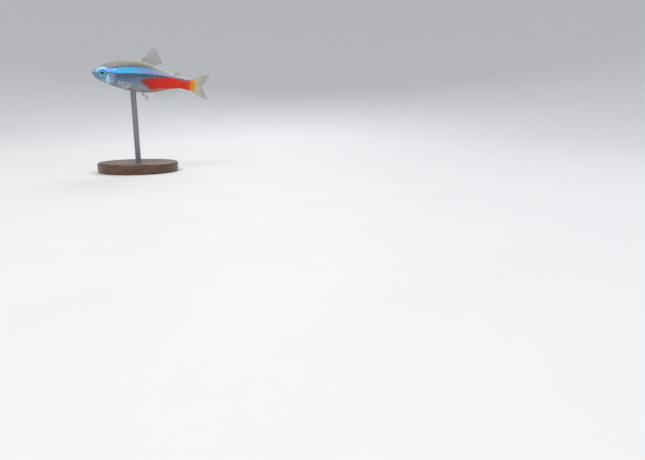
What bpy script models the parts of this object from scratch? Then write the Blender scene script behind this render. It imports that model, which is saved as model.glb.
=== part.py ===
"""A neon tetra as a life-size still model on a plain display stand.

Units are metres and +Z is up. The fish is first built straight: X runs from its snout to its tail,
Y to its right and Z to its back. The tail is then bent to one side, and an empty holds the whole
fish on the stand, nose up and a little banked. Shares are parts of the standard length, which runs
from the snout to the end of the fleshy tail.
"""

import math

import bmesh
import bpy
import numpy as np
from mathutils import Matrix

# Driving dimensions
STANDARD_LENGTH = 0.029
GAP = 0.0003
RINGS = 38
RING_POINTS = 32

# Outlines of the straight body: share of the length, and share up, down or out from its axis
BACK = (
    (0.0, 0.004), (0.025, 0.043), (0.08, 0.085), (0.17, 0.133), (0.28, 0.170), (0.41, 0.188),
    (0.51, 0.179), (0.62, 0.142), (0.76, 0.099), (0.88, 0.068), (0.95, 0.060), (1.0, 0.064),
)
BELLY = (
    (0.0, 0.004), (0.02, -0.034), (0.06, -0.062), (0.15, -0.090), (0.25, -0.115), (0.36, -0.133),
    (0.47, -0.137), (0.58, -0.124), (0.70, -0.088), (0.80, -0.057), (0.88, -0.045), (1.0, -0.058),
)
HALF_WIDTH = (
    (0.0, 0.0), (0.025, 0.026), (0.07, 0.046), (0.13, 0.060), (0.22, 0.073), (0.34, 0.080),
    (0.48, 0.075), (0.62, 0.058), (0.76, 0.042), (0.88, 0.030), (1.0, 0.017),
)
FLANK_FULLNESS = 0.92
SHOULDER = 0.08

# Pose on the stand
BEND_START = 0.50
BEND_END = 1.15
TAIL_TURN = math.radians(26)
NOSE_UP = math.radians(6.5)
BANK = math.radians(4)
HOLD_SHARE = 0.40
HOLD_HEIGHT = 0.0244

# Gill opening and gill covers, in shares
GILL_REAR = 0.248
GILL_REAR_HEIGHT = -0.010
GILL_UPPER_CURVE = 1.3
GILL_LOWER_CURVE = 10.0
GILL_THROAT = -0.115
COVER_TOP = 0.055
COVER_FOOT = -0.082
COVER_FRONT = 0.174
COVER_FRONT_HEIGHT = -0.030
COVER_FRONT_CURVE = 4.0
COVER_RAISED = 0.0001
COVER_DEPTH = 0.0005
COVER_CLEAR_OF_MIDLINE = 0.0004

# Where the trunk ends and the tail starts, at the back and at the belly
TAIL_CUT_BACK = 0.650
TAIL_CUT_BELLY = 0.585

# How far the cutting blocks run clear of the body, in shares, and half their width in metres
CLEAR_AHEAD = -0.20
CLEAR_BEHIND = 1.50
CLEAR_ABOVE = 0.30
BLOCK_HALF_WIDTH = 0.01

# Eyes, mouth and nostrils
EYE_SHARE = 0.105
EYE_HEIGHT = 0.008
EYE_RADIUS = 0.00125
EYE_HALF_DEPTH = 0.00072
EYE_OUT = 0.00030
EYE_FULLNESS = 0.45
MOUTH_FRONT_HEIGHT = 0.008
MOUTH_CORNER = 0.050
MOUTH_CORNER_HEIGHT = -0.026
MOUTH_DROP_POWER = 1.2
MOUTH_SLIT = 0.00018
MOUTH_DEPTH = 0.0004
LIP_RADIUS = 0.00019
LIP_CORNER_TAPER = 0.45
LIP_APART = 0.0105
NOSTRIL_SHARE = 0.047
NOSTRIL_HEIGHT = 0.042
NOSTRIL_RADIUS = 0.00022

# Fins
FIN_ROOT_HALF = 0.00030
FIN_MEMBRANE_HALF = 0.00025
FIN_RAY_HALF = 0.00038
FIN_TIP_HALF = 0.00015
RAY_SHARE_OF_PITCH = 0.30
LEADING_RAYS = 0.13
LEADING_SHORTER = 0.34

# Fins on the midline: where the first and last ray stand, how long they are and how steeply they
# rise, in shares and degrees. A droop below 1 shortens the rays early, and a bow curves them.
DORSAL = {
    "shares": (0.470, 0.600), "lengths": (0.205, 0.085), "rises": (56, 22),
    "droop": 0.80, "bow": 0.03, "rays": 11, "rows": 6,
}
ANAL = {
    "shares": (0.612, 0.850), "lengths": (0.150, 0.055), "rises": (62, 30),
    "droop": 0.45, "bow": 0.03, "rays": 19, "rows": 6,
}
ADIPOSE = {
    "shares": (0.800, 0.838), "lengths": (0.066, 0.036), "rises": (32, 4),
    "droop": 1.0, "bow": 0.0, "rays": 0, "rows": 4,
}

# Tail fin: its outer and inner rays, and how much of the tail's end its root takes
CAUDAL_LENGTHS = (0.280, 0.120)
CAUDAL_RISES = (24, 1.5)
CAUDAL_DROOP = 0.60
CAUDAL_BOW = 0.04
CAUDAL_ROOT = 0.95
CAUDAL_UPPER_RAYS = 10
CAUDAL_LOWER_RAYS = 9
CAUDAL_ROWS = 7

# Paired fins on the right: root, length and root length in shares, the way the fan's middle points,
# the way from its last ray to its first, and its spread in degrees
PECTORAL = {
    "place": (0.262, -0.055), "length": 0.160, "base": 0.030,
    "way": (0.84, 0.44, -0.32), "lead": (0.25, 0.10, 1.0), "spread": 32, "rays": 10,
}
PELVIC = {
    "place": (0.475, -0.120), "length": 0.150, "base": 0.026,
    "way": (0.70, 0.30, -0.65), "lead": (-0.70, 0.60, -0.10), "spread": 36, "rays": 8,
}
PAIRED_ROWS = 5
PAIRED_LAST_RAY = 0.55
PAIRED_DROOP = 1.4

# Stand
BASE_RADIUS = 0.012
BASE_HEIGHT = 0.003
BASE_CHAMFER = 0.0005
ROD_RADIUS = 0.0008
SOCKET_DEPTH = 0.0015


def outline(points):
    """A smooth function through the points, round at the snout because it follows the share's root."""
    where = np.sqrt([p[0] for p in points])
    value = np.array([p[1] for p in points])
    slope = np.gradient(value, where)

    def at(share):
        t = np.sqrt(np.clip(share, 0.0, 1.0))
        i = np.clip(np.searchsorted(where, t) - 1, 0, len(where) - 2)
        step = where[i + 1] - where[i]
        u = (t - where[i]) / step
        start = (2 * u**3 - 3 * u**2 + 1) * value[i] + (u**3 - 2 * u**2 + u) * step * slope[i]
        end = (3 * u**2 - 2 * u**3) * value[i + 1] + (u**3 - u**2) * step * slope[i + 1]
        return start + end

    return at


back = outline(BACK)
belly = outline(BELLY)
half_width = outline(HALF_WIDTH)


def skin_point(share, angle, grow=0.0):
    """The straight body's surface, where the angle runs from its right flank up to the back."""
    share = np.asarray(share, float)
    tall = (back(share) - belly(share)) / 2 * STANDARD_LENGTH
    wide = half_width(share) * STANDARD_LENGTH
    middle = (back(share) + belly(share)) / 2 * STANDARD_LENGTH
    if grow:
        tall = np.maximum(tall + grow, 0.15 * tall)
        wide = np.maximum(wide + grow, 0.15 * wide)
    out = np.sign(np.cos(angle)) * np.abs(np.cos(angle)) ** FLANK_FULLNESS
    x = -grow + share * (STANDARD_LENGTH + 2 * grow)
    y = wide * out * (1 + SHOULDER * np.sin(angle))
    z = middle + tall * np.sin(angle)
    return np.stack(np.broadcast_arrays(x, y, z), axis=-1)


def flank_point(share, height, side):
    """The point of the left (-1) or right (1) flank at this share and height, both in shares."""
    rise = (height - (back(share) + belly(share)) / 2) / ((back(share) - belly(share)) / 2)
    angle = math.asin(float(np.clip(rise, -1.0, 1.0)))
    return skin_point(share, angle if side > 0 else math.pi - angle)


def flank_normal(share, height, side):
    step = 0.004
    along = flank_point(share + step, height, side) - flank_point(share - step, height, side)
    up = flank_point(share, height + step, side) - flank_point(share, height - step, side)
    normal = np.cross(up, along) * side
    return normal / np.linalg.norm(normal)


def edge_point(edge, share, out):
    """A point of the back or belly line, moved out from the body by a distance in metres."""
    step = 0.004
    slope = (edge(share + step) - edge(share - step)) / (2 * step)
    sign = 1.0 if edge is back else -1.0
    normal = np.array([-slope, 1.0]) * sign / math.hypot(slope, 1.0)
    return np.array(
        [
            share * STANDARD_LENGTH + normal[0] * out,
            0.0,
            edge(share) * STANDARD_LENGTH + normal[1] * out,
        ]
    )


def material(name, colour, roughness, metallic=0.0):
    made = bpy.data.materials.new(name)
    made.use_nodes = True
    shader = made.node_tree.nodes["Principled BSDF"]
    shader.inputs["Base Color"].default_value = (*colour, 1.0)
    shader.inputs["Roughness"].default_value = roughness
    shader.inputs["Metallic"].default_value = metallic
    made.diffuse_color = (*colour, 1.0)
    return made


def clear_scene():
    for obj in list(bpy.data.objects):
        bpy.data.objects.remove(obj)


def new_collection(name):
    made = bpy.data.collections.new(name)
    bpy.context.scene.collection.children.link(made)
    return made


def add_object(name, bm, collection):
    """Makes an object of a closed bmesh, with its faces turned out."""
    bmesh.ops.recalc_face_normals(bm, faces=bm.faces)
    if bm.calc_volume(signed=True) < 0:
        bmesh.ops.reverse_faces(bm, faces=bm.faces)
    mesh = bpy.data.meshes.new(name)
    bm.to_mesh(mesh)
    bm.free()
    obj = bpy.data.objects.new(name, mesh)
    collection.objects.link(obj)
    return obj


def loft(name, rings, collection, start=None):
    """Joins rings of points in order, closes the far end flat and the near end flat or in a point."""
    bm = bmesh.new()
    made = [[bm.verts.new(p) for p in ring] for ring in rings]
    count = len(made[0])
    for first, second in zip(made, made[1:]):
        for i in range(count):
            j = (i + 1) % count
            bm.faces.new((first[i], first[j], second[j], second[i]))
    bm.faces.new(made[-1])
    if start is None:
        bm.faces.new(made[0])
    else:
        tip = bm.verts.new(start)
        for i in range(count):
            bm.faces.new((tip, made[0][i], made[0][(i + 1) % count]))
    return add_object(name, bm, collection)


def body_loft(name, collection, grow=0.0):
    """The whole straight body, larger or smaller by a distance on every side."""
    shares = (np.arange(1, RINGS + 1) / RINGS) ** 1.5
    angles = np.arange(RING_POINTS) * (2 * math.pi / RING_POINTS)
    rings = [skin_point(share, angles, grow) for share in shares]
    return loft(name, rings, collection, start=skin_point(0.0, 0.0, grow))


def prism(name, corners, low, high, collection):
    """An outline of (share, height) corners, seen from the side, extruded from low to high in Y."""
    flat = np.array(corners) * STANDARD_LENGTH
    rings = [[(x, y, z) for x, z in flat] for y in (low, high)]
    return loft(name, rings, collection)


def ellipsoid(name, centre, radii, fullness, segments, collection):
    """A ball stretched to three radii, with a fullness below 1 making its rim rounder and squarer."""
    bm = bmesh.new()
    bmesh.ops.create_uvsphere(bm, u_segments=segments, v_segments=segments // 2, radius=1.0)
    for vert in bm.verts:
        x, y, z = vert.co.x, vert.co.y, vert.co.z
        around = math.hypot(x, y)
        full = around**fullness / around if around > 1e-6 else 0.0
        vert.co = (
            centre[0] + radii[0] * x * full,
            centre[1] + radii[1] * z,
            centre[2] + radii[2] * y * full,
        )
    return add_object(name, bm, collection)


def tube(name, points, radius, taper, collection):
    """A round bar through the points, as a closed mesh, thinner towards its ends by the taper."""
    curve = bpy.data.curves.new(name, "CURVE")
    curve.dimensions = "3D"
    curve.bevel_depth = radius
    curve.bevel_resolution = 1
    curve.use_fill_caps = True
    spline = curve.splines.new("POLY")
    spline.points.add(len(points) - 1)
    for i, (point, place) in enumerate(zip(spline.points, points)):
        point.co = (*place, 1.0)
        point.radius = 1.0 - taper * abs(2 * i / (len(points) - 1) - 1) ** 3
    guide = bpy.data.objects.new(name + "_guide", curve)
    collection.objects.link(guide)
    bpy.context.view_layer.update()
    graph = bpy.context.evaluated_depsgraph_get()
    bm = bmesh.new()
    bm.from_mesh(bpy.data.meshes.new_from_object(guide.evaluated_get(graph)))
    bmesh.ops.remove_doubles(bm, verts=bm.verts, dist=1e-7)
    bpy.data.objects.remove(guide)
    return add_object(name, bm, collection)


def keep_largest(obj):
    """Leaves only the closed surface with the most faces."""
    bm = bmesh.new()
    bm.from_mesh(obj.data)
    left = set(bm.faces)
    pieces = []
    while left:
        waiting = [left.pop()]
        piece = set(waiting)
        while waiting:
            face = waiting.pop()
            near = {other for edge in face.edges for other in edge.link_faces} & left
            left -= near
            piece |= near
            waiting += near
        pieces.append(piece)
    pieces.sort(key=len)
    bmesh.ops.delete(bm, geom=[face for piece in pieces[:-1] for face in piece], context="FACES")
    bm.to_mesh(obj.data)
    bm.free()


def combine(obj, operation, others, cutters):
    """Applies one exact Boolean with several closed meshes, which are then removed."""
    group = bpy.data.collections.new("operands")
    cutters.children.link(group)
    for other in others:
        group.objects.link(other)
        other.hide_render = True
        other.display_type = "WIRE"
    cut = obj.modifiers.new(operation.lower(), "BOOLEAN")
    cut.operation = operation
    cut.solver = "EXACT"
    if operation == "INTERSECT":
        cut.object = others[0]
    else:
        cut.operand_type = "COLLECTION"
        cut.collection = group
    bpy.context.view_layer.update()
    graph = bpy.context.evaluated_depsgraph_get()
    result = bpy.data.meshes.new_from_object(obj.evaluated_get(graph))
    obj.modifiers.clear()
    obj.data = result
    for other in others:
        bpy.data.objects.remove(other)
    bpy.data.collections.remove(group)
    keep_largest(obj)
    return obj


def gill_edge(height):
    """The share at which the gill opening lies, for a height in shares."""
    curve = GILL_UPPER_CURVE if height > GILL_REAR_HEIGHT else GILL_LOWER_CURVE
    return GILL_REAR - curve * (height - GILL_REAR_HEIGHT) ** 2


def head_block(name, further, collection):
    """Everything in front of the gill opening, moved back by a share."""
    heights = np.linspace(CLEAR_ABOVE, GILL_THROAT, 22)
    rear = [(gill_edge(h) + further, h) for h in heights]
    foot = (rear[-1][0], -CLEAR_ABOVE)
    front = [(CLEAR_AHEAD, -CLEAR_ABOVE), (CLEAR_AHEAD, CLEAR_ABOVE)]
    return prism(name, [*rear, foot, *front], -BLOCK_HALF_WIDTH, BLOCK_HALF_WIDTH, collection)


def tail_block(name, further, collection):
    """Everything behind the slanted cut at the vent, moved back by a share."""
    slant = (TAIL_CUT_BACK - TAIL_CUT_BELLY) / (back(TAIL_CUT_BACK) - belly(TAIL_CUT_BELLY))
    front = [
        (TAIL_CUT_BELLY + further + slant * (h - belly(TAIL_CUT_BELLY)), h)
        for h in (-CLEAR_ABOVE, CLEAR_ABOVE)
    ]
    rear = [(CLEAR_BEHIND, CLEAR_ABOVE), (CLEAR_BEHIND, -CLEAR_ABOVE)]
    return prism(name, front + rear, -BLOCK_HALF_WIDTH, BLOCK_HALF_WIDTH, collection)


def cover_block(name, side, margin, behind, collection):
    """The gill cover's outline on one side, wider by a share all round and open to behind."""
    heights = np.linspace(COVER_TOP + margin, COVER_FOOT - margin, 9)
    rear = [(gill_edge(h) + behind, h) for h in heights]
    front = [
        (COVER_FRONT - margin + COVER_FRONT_CURVE * (h - COVER_FRONT_HEIGHT) ** 2, h)
        for h in heights[::-1]
    ]
    low, high = sorted((side * COVER_CLEAR_OF_MIDLINE, side * BLOCK_HALF_WIDTH))
    return prism(name, rear + front, low, high, collection)


def make_gill_cover(name, side, parts, cutters):
    cover = cover_block(name, side, 0.0, 0.0, parts)
    combine(cover, "INTERSECT", [body_loft("outer", cutters, COVER_RAISED)], cutters)
    combine(cover, "DIFFERENCE", [body_loft("inner", cutters, -COVER_DEPTH)], cutters)
    return cover


def eye_place(side):
    surface = flank_point(EYE_SHARE, EYE_HEIGHT, side)
    return (surface[0], surface[1] + side * (EYE_OUT - EYE_HALF_DEPTH), surface[2])


def make_eye(name, side, grow, collection):
    across = EYE_RADIUS + grow
    radii = (across, EYE_HALF_DEPTH + grow, across)
    return ellipsoid(name, eye_place(side), radii, EYE_FULLNESS, 20, collection)


def mouth_height(share):
    way = (share / MOUTH_CORNER) ** MOUTH_DROP_POWER
    return MOUTH_FRONT_HEIGHT + (MOUTH_CORNER_HEIGHT - MOUTH_FRONT_HEIGHT) * way


def lip(name, shift, collection):
    """A lip from one corner of the mouth round the snout to the other."""
    shares = MOUTH_CORNER * np.linspace(0.1, 1.0, 6) ** 1.5
    right = [flank_point(s, mouth_height(s) + shift, 1) for s in shares]
    left = [p * np.array([1.0, -1.0, 1.0]) for p in right]
    return tube(name, left[::-1] + right, LIP_RADIUS, LIP_CORNER_TAPER, collection)


def mouth_cutter(cutters):
    """A shallow slit along the line of the mouth, round the front of the snout."""
    half = MOUTH_SLIT / 2 / STANDARD_LENGTH
    shares = np.linspace(0.0, MOUTH_CORNER, 7)
    line = [(s, mouth_height(s)) for s in shares]
    line.insert(0, (CLEAR_AHEAD, line[0][1]))
    upper = [(s, h + half) for s, h in line]
    lower = [(s, h - half) for s, h in line]
    slit = prism("slit", upper + lower[::-1], -BLOCK_HALF_WIDTH, BLOCK_HALF_WIDTH, cutters)
    return combine(slit, "DIFFERENCE", [body_loft("inside", cutters, -MOUTH_DEPTH)], cutters)


def make_head(parts, cutters):
    head = body_loft("head", parts)
    combine(head, "INTERSECT", [head_block("front", 0.0, cutters)], cutters)
    lips = [lip("upper_lip", LIP_APART, cutters), lip("lower_lip", -LIP_APART, cutters)]
    combine(head, "UNION", lips, cutters)
    holes = [mouth_cutter(cutters)]
    for side in (-1, 1):
        pocket = cover_block("pocket", side, GAP / STANDARD_LENGTH, 0.03, cutters)
        floor = body_loft("floor", cutters, -COVER_DEPTH - GAP)
        holes.append(combine(pocket, "DIFFERENCE", [floor], cutters))
        holes.append(make_eye("socket", side, GAP, cutters))
        nostril = flank_point(NOSTRIL_SHARE, NOSTRIL_HEIGHT, side)
        radii = (NOSTRIL_RADIUS,) * 3
        holes.append(ellipsoid("nostril", nostril, radii, 1.0, 8, cutters))
    for hole in holes:
        combine(head, "DIFFERENCE", [hole], cutters)
    return head


def make_trunk(parts, cutters):
    trunk = body_loft("trunk", parts)
    front = head_block("front", GAP / STANDARD_LENGTH, cutters)
    rear = tail_block("rear", 0.0, cutters)
    return combine(trunk, "DIFFERENCE", [front, rear], cutters)


def make_tail(parts, cutters):
    tail = body_loft("tail", parts)
    block = tail_block("block", GAP / STANDARD_LENGTH, cutters)
    return combine(tail, "INTERSECT", [block], cutters)


def fin_columns(rays):
    """Where the columns of points stand across a fin, and whether each is the crest of a ray."""
    pitch = 1.0 / (rays - 1)
    foot = RAY_SHARE_OF_PITCH * pitch
    columns = [(0.0, 1.0), (foot, 0.0)]
    for i in range(1, rays - 1):
        columns += [(i * pitch - foot, 0.0), (i * pitch, 1.0), (i * pitch + foot, 0.0)]
    return columns + [(1.0 - foot, 0.0), (1.0, 1.0)]


def make_fin(name, root, tip, across, columns, rows, parts, bow=0.0, root_across=None):
    """A fin whose rays are ridges in the surface of its membrane.

    root and tip give the ends of the line at a place across the fin. across is the direction of
    its thickness, and root_across the same at its root, where it lies along the body. Both faces
    are the same grid with the same diagonals.
    """
    bm = bmesh.new()
    faces = ([], [])
    across = np.asarray(across, float)
    root_across = across if root_across is None else np.asarray(root_across, float)
    for u, crest in columns:
        start = root(u)
        end = tip(u)
        chord = end - start
        lift = np.cross(across, chord) * bow
        for j in range(rows + 1):
            v = j / rows
            place = start + chord * v + lift * (4 * v * (1 - v))
            ridge = crest * (FIN_RAY_HALF - FIN_MEMBRANE_HALF) * min(1.0, 4 * v)
            thick = FIN_MEMBRANE_HALF + ridge
            thick = FIN_ROOT_HALF if j == 0 else thick + (FIN_TIP_HALF - thick) * v**3
            way = root_across if j == 0 else across
            faces[0].append(bm.verts.new(place + way * thick))
            faces[1].append(bm.verts.new(place - way * thick))
    tall = rows + 1
    rim = []
    for i in range(len(columns) - 1):
        for j in range(rows):
            a, b = i * tall + j, i * tall + j + 1
            c, d = a + tall, b + tall
            for side in faces:
                bm.faces.new((side[a], side[b], side[d]))
                bm.faces.new((side[a], side[d], side[c]))
        rim.append((i * tall, (i + 1) * tall))
        rim.append((i * tall + rows, (i + 1) * tall + rows))
    last = (len(columns) - 1) * tall
    for j in range(rows):
        rim.append((j, j + 1))
        rim.append((last + j, last + j + 1))
    for a, b in rim:
        bm.faces.new((faces[0][a], faces[0][b], faces[1][b]))
        bm.faces.new((faces[0][a], faces[1][b], faces[1][a]))
    return add_object(name, bm, parts)


def between(first, last, u, power=1.0):
    return first + (last - first) * u**power


def leading(u):
    """How much shorter the first few rays are, which rounds a fin's front corner."""
    return 1.0 - LEADING_SHORTER * max(0.0, 1.0 - u / LEADING_RAYS) ** 2


def make_median_fin(name, edge, shares, lengths, rises, droop, bow, rays, rows, parts):
    """A fin on the midline of the back or belly, which is smooth where it has no rays."""
    sign = 1.0 if edge is back else -1.0
    columns = fin_columns(rays) if rays else [(u, 0.0) for u in np.linspace(0.0, 1.0, 4)]

    def root(u):
        return edge_point(edge, between(*shares, u), GAP)

    def tip(u):
        rise = math.radians(between(*rises, u))
        length = between(*lengths, u, droop) * STANDARD_LENGTH
        if rays:
            length *= leading(u)
        return root(u) + length * np.array([math.cos(rise), 0.0, sign * math.sin(rise)])

    return make_fin(name, root, tip, (0.0, 1.0, 0.0), columns, rows, parts, bow * sign)


def make_caudal_lobe(name, sign, rays, parts):
    """One lobe of the forked tail fin, whose outer rays are the longest."""
    outer = CAUDAL_ROOT * (back(1.0) if sign > 0 else belly(1.0))
    inner = (back(1.0) + belly(1.0)) / 2 + sign * GAP / 2 / STANDARD_LENGTH

    def root(u):
        height = between(outer, inner, u)
        return np.array([STANDARD_LENGTH + GAP, 0.0, height * STANDARD_LENGTH])

    def tip(u):
        length = between(*CAUDAL_LENGTHS, u, CAUDAL_DROOP) * leading(u) * STANDARD_LENGTH
        rise = math.radians(between(*CAUDAL_RISES, u))
        return root(u) + length * np.array([math.cos(rise), 0.0, sign * math.sin(rise)])

    columns = fin_columns(rays)
    bow = -CAUDAL_BOW * sign
    return make_fin(name, root, tip, (0.0, 1.0, 0.0), columns, CAUDAL_ROWS, parts, bow)


def mirrored(direction, side):
    """A direction given for the right flank, as a unit vector on the side."""
    made = np.array([direction[0], direction[1] * side, direction[2]])
    return made / np.linalg.norm(made)


def without(direction, other):
    """The unit direction left when a unit vector's share of it is taken out."""
    made = direction - other * direction.dot(other)
    return made / np.linalg.norm(made)


def make_paired_fin(name, side, place, length, base, way, lead, spread, rays, parts):
    """A fan of rays on one flank, whose root lies along the skin."""
    normal = flank_normal(*place, side)
    foot = flank_point(*place, side) + normal * GAP
    middle = mirrored(way, side)
    front = without(mirrored(lead, side), middle)
    across = np.cross(middle, front)
    along = without(front, normal)

    def root(u):
        return foot + along * (0.5 - u) * base * STANDARD_LENGTH

    def tip(u):
        angle = math.radians(spread) * (0.5 - u)
        reach = length * between(1.0, PAIRED_LAST_RAY, u, PAIRED_DROOP) * STANDARD_LENGTH
        return root(u) + reach * (math.cos(angle) * middle + math.sin(angle) * front)

    columns = fin_columns(rays)
    root_across = without(across, normal)
    return make_fin(
        name, root, tip, across, columns, PAIRED_ROWS, parts, root_across=root_across
    )


def make_fins(parts):
    fins = [
        make_median_fin("dorsal_fin", back, **DORSAL, parts=parts),
        make_median_fin("anal_fin", belly, **ANAL, parts=parts),
        make_caudal_lobe("caudal_fin_upper_lobe", 1.0, CAUDAL_UPPER_RAYS, parts),
        make_caudal_lobe("caudal_fin_lower_lobe", -1.0, CAUDAL_LOWER_RAYS, parts),
    ]
    for word, side in (("left", -1), ("right", 1)):
        fins.append(make_paired_fin("pectoral_fin_" + word, side, **PECTORAL, parts=parts))
        fins.append(make_paired_fin("pelvic_fin_" + word, side, **PELVIC, parts=parts))
    return fins


def bend(points):
    """Turns the straight fish's tail to its right, keeping every length along the axis."""
    samples = np.linspace(0.0, 1.4, 281) * STANDARD_LENGTH
    span = (samples / STANDARD_LENGTH - BEND_START) / (BEND_END - BEND_START)
    span = np.clip(span, 0.0, 1.0)
    heading = TAIL_TURN * span**2 * (3 - 2 * span)
    step = samples[1] - samples[0]
    axis_x = np.concatenate([[0.0], np.cumsum(np.cos(heading[:-1]) * step)])
    axis_y = np.concatenate([[0.0], np.cumsum(np.sin(heading[:-1]) * step)])
    x, y, z = points.T
    turn = np.interp(x, samples, heading)
    ahead = np.minimum(x, 0.0)
    new_x = np.interp(x, samples, axis_x) + ahead - y * np.sin(turn)
    new_y = np.interp(x, samples, axis_y) + y * np.cos(turn)
    return np.stack([new_x, new_y, z], axis=1)


def pose_mesh(obj):
    """Bends a part's mesh and moves it so that the stand's holding point is at the origin."""
    bm = bmesh.new()
    bm.from_mesh(obj.data)
    bmesh.ops.triangulate(bm, faces=bm.faces)
    hold = edge_point(belly, HOLD_SHARE, 0.0)
    points = bend(np.array([tuple(vert.co) for vert in bm.verts]))
    for vert, point in zip(bm.verts, points - hold):
        vert.co = point
    bm.to_mesh(obj.data)
    bm.free()


def cylinder(name, radius, low, high, segments, collection):
    bm = bmesh.new()
    middle = Matrix.Translation((0.0, 0.0, (low + high) / 2))
    bmesh.ops.create_cone(
        bm, cap_ends=True, segments=segments, radius1=radius, radius2=radius,
        depth=high - low, matrix=middle,
    )
    return add_object(name, bm, collection)


def make_base(parts, cutters):
    base = cylinder("stand_base", BASE_RADIUS, 0.0, BASE_HEIGHT, 64, parts)
    bevel = base.modifiers.new("chamfer", "BEVEL")
    bevel.width = BASE_CHAMFER
    bevel.segments = 2
    bevel.limit_method = "ANGLE"
    top = BASE_HEIGHT + 0.001
    hole = cylinder("hole", ROD_RADIUS + GAP, BASE_HEIGHT - SOCKET_DEPTH, top, 20, cutters)
    return combine(base, "DIFFERENCE", [hole], cutters)


def make_rod(holder, parts, cutters):
    """The rod from its socket in the base up to the belly, whose curve its top follows."""
    foot = BASE_HEIGHT - SOCKET_DEPTH + GAP
    rod = cylinder("stand_rod", ROD_RADIUS, foot, HOLD_HEIGHT + 0.002, 20, parts)
    around = body_loft("around", cutters, GAP)
    pose_mesh(around)
    around.parent = holder
    return combine(rod, "DIFFERENCE", [around], cutters)


def smooth_looks(obj, degrees):
    obj.data.shade_smooth()
    obj.data.set_sharp_from_angle(angle=math.radians(degrees))


def finish(obj, surface):
    obj.data.materials.clear()
    obj.data.materials.append(surface)
    smooth_looks(obj, 40)


def make_fish(parts, cutters):
    """Every part of the fish, straight, with the material that each takes."""
    made = {
        make_head(parts, cutters): material("head_skin", (0.20, 0.26, 0.33), 0.35, 0.2),
        make_trunk(parts, cutters): material("trunk_skin", (0.10, 0.45, 0.85), 0.30, 0.3),
        make_tail(parts, cutters): material("tail_skin", (0.62, 0.03, 0.02), 0.35, 0.0),
    }
    silver = material("gill_cover_skin", (0.40, 0.55, 0.70), 0.25, 0.5)
    glassy = material("eye_surface", (0.05, 0.25, 0.35), 0.08, 0.0)
    clear = material("fin_membrane", (0.70, 0.74, 0.72), 0.30, 0.0)
    for word, side in (("left", -1), ("right", 1)):
        made[make_gill_cover("gill_cover_" + word, side, parts, cutters)] = silver
        made[make_eye("eye_" + word, side, 0.0, parts)] = glassy
    for fin in make_fins(parts):
        made[fin] = clear
    fleshy_fin = make_median_fin("adipose_fin", back, **ADIPOSE, parts=parts)
    made[fleshy_fin] = material("adipose_skin", (0.55, 0.58, 0.58), 0.35)
    return made


def main():
    clear_scene()
    parts = new_collection("neon_tetra")
    cutters = new_collection("cutters")
    holder = bpy.data.objects.new("swimming_pose", None)
    holder.location = (0.0, 0.0, HOLD_HEIGHT)
    holder.rotation_euler = (BANK, NOSE_UP, 0.0)
    parts.objects.link(holder)
    for obj, surface in make_fish(parts, cutters).items():
        pose_mesh(obj)
        obj.parent = holder
        finish(obj, surface)
    finish(make_base(parts, cutters), material("base_wood", (0.10, 0.055, 0.03), 0.4))
    finish(make_rod(holder, parts, cutters), material("rod_steel", (0.62, 0.62, 0.62), 0.3, 1.0))


main()
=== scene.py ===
"""The finished look of a life-size neon tetra on a plain display stand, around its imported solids.

Units are metres. The fish is shaped straight, with X from snout to tail, Y to its right and Z to its
back, and every piece is then bent and set on the stand just as the solids are. A share is a part of
the standard length, from the snout to the end of the fleshy tail, and a height is a share above the
body's axis. Each piece of the fish carries its shares and heights, so that the skin and the scales
take the same markings.
"""

import math
from functools import partialmethod
from types import SimpleNamespace

import bmesh
import bpy
import numpy as np
from mathutils import Euler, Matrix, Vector


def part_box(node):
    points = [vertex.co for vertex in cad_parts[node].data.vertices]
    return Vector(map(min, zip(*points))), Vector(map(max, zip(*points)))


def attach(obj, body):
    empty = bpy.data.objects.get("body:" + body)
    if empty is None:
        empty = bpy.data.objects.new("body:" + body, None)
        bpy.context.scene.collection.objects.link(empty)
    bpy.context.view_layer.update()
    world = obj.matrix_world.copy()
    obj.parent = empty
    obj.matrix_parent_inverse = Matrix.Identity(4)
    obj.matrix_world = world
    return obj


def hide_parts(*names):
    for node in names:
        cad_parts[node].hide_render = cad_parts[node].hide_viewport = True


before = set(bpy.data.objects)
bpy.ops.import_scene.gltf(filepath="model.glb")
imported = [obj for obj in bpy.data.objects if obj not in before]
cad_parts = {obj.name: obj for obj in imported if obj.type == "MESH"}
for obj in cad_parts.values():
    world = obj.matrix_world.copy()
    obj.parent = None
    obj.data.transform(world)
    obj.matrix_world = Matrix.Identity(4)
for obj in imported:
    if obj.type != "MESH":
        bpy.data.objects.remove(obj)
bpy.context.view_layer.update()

# One millimetre
MM = 0.001

# The body's driving dimensions and outlines, as in the solids
LENGTH = 0.029
GAP = 0.0003
BACK = (
    (0.0, 0.004), (0.025, 0.043), (0.08, 0.085), (0.17, 0.133), (0.28, 0.170), (0.41, 0.188),
    (0.51, 0.179), (0.62, 0.142), (0.76, 0.099), (0.88, 0.068), (0.95, 0.060), (1.0, 0.064),
)
BELLY = (
    (0.0, 0.004), (0.02, -0.034), (0.06, -0.062), (0.15, -0.090), (0.25, -0.115), (0.36, -0.133),
    (0.47, -0.137), (0.58, -0.124), (0.70, -0.088), (0.80, -0.057), (0.88, -0.045), (1.0, -0.058),
)
HALF_WIDTH = (
    (0.0, 0.0), (0.025, 0.026), (0.07, 0.046), (0.13, 0.060), (0.22, 0.073), (0.34, 0.080),
    (0.48, 0.075), (0.62, 0.058), (0.76, 0.042), (0.88, 0.030), (1.0, 0.017),
)
FLANK_FULLNESS = 0.92
SHOULDER = 0.08
NEARBY = 0.004

# The pose, as in the solids
BEND_START = 0.50
BEND_END = 1.15
BEND_REACH = 1.4
BEND_SAMPLES = 281
TAIL_TURN = math.radians(26)
NOSE_UP = math.radians(6.5)
BANK = math.radians(4)
HOLD_SHARE = 0.40
HOLD_HEIGHT = 0.0244

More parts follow.
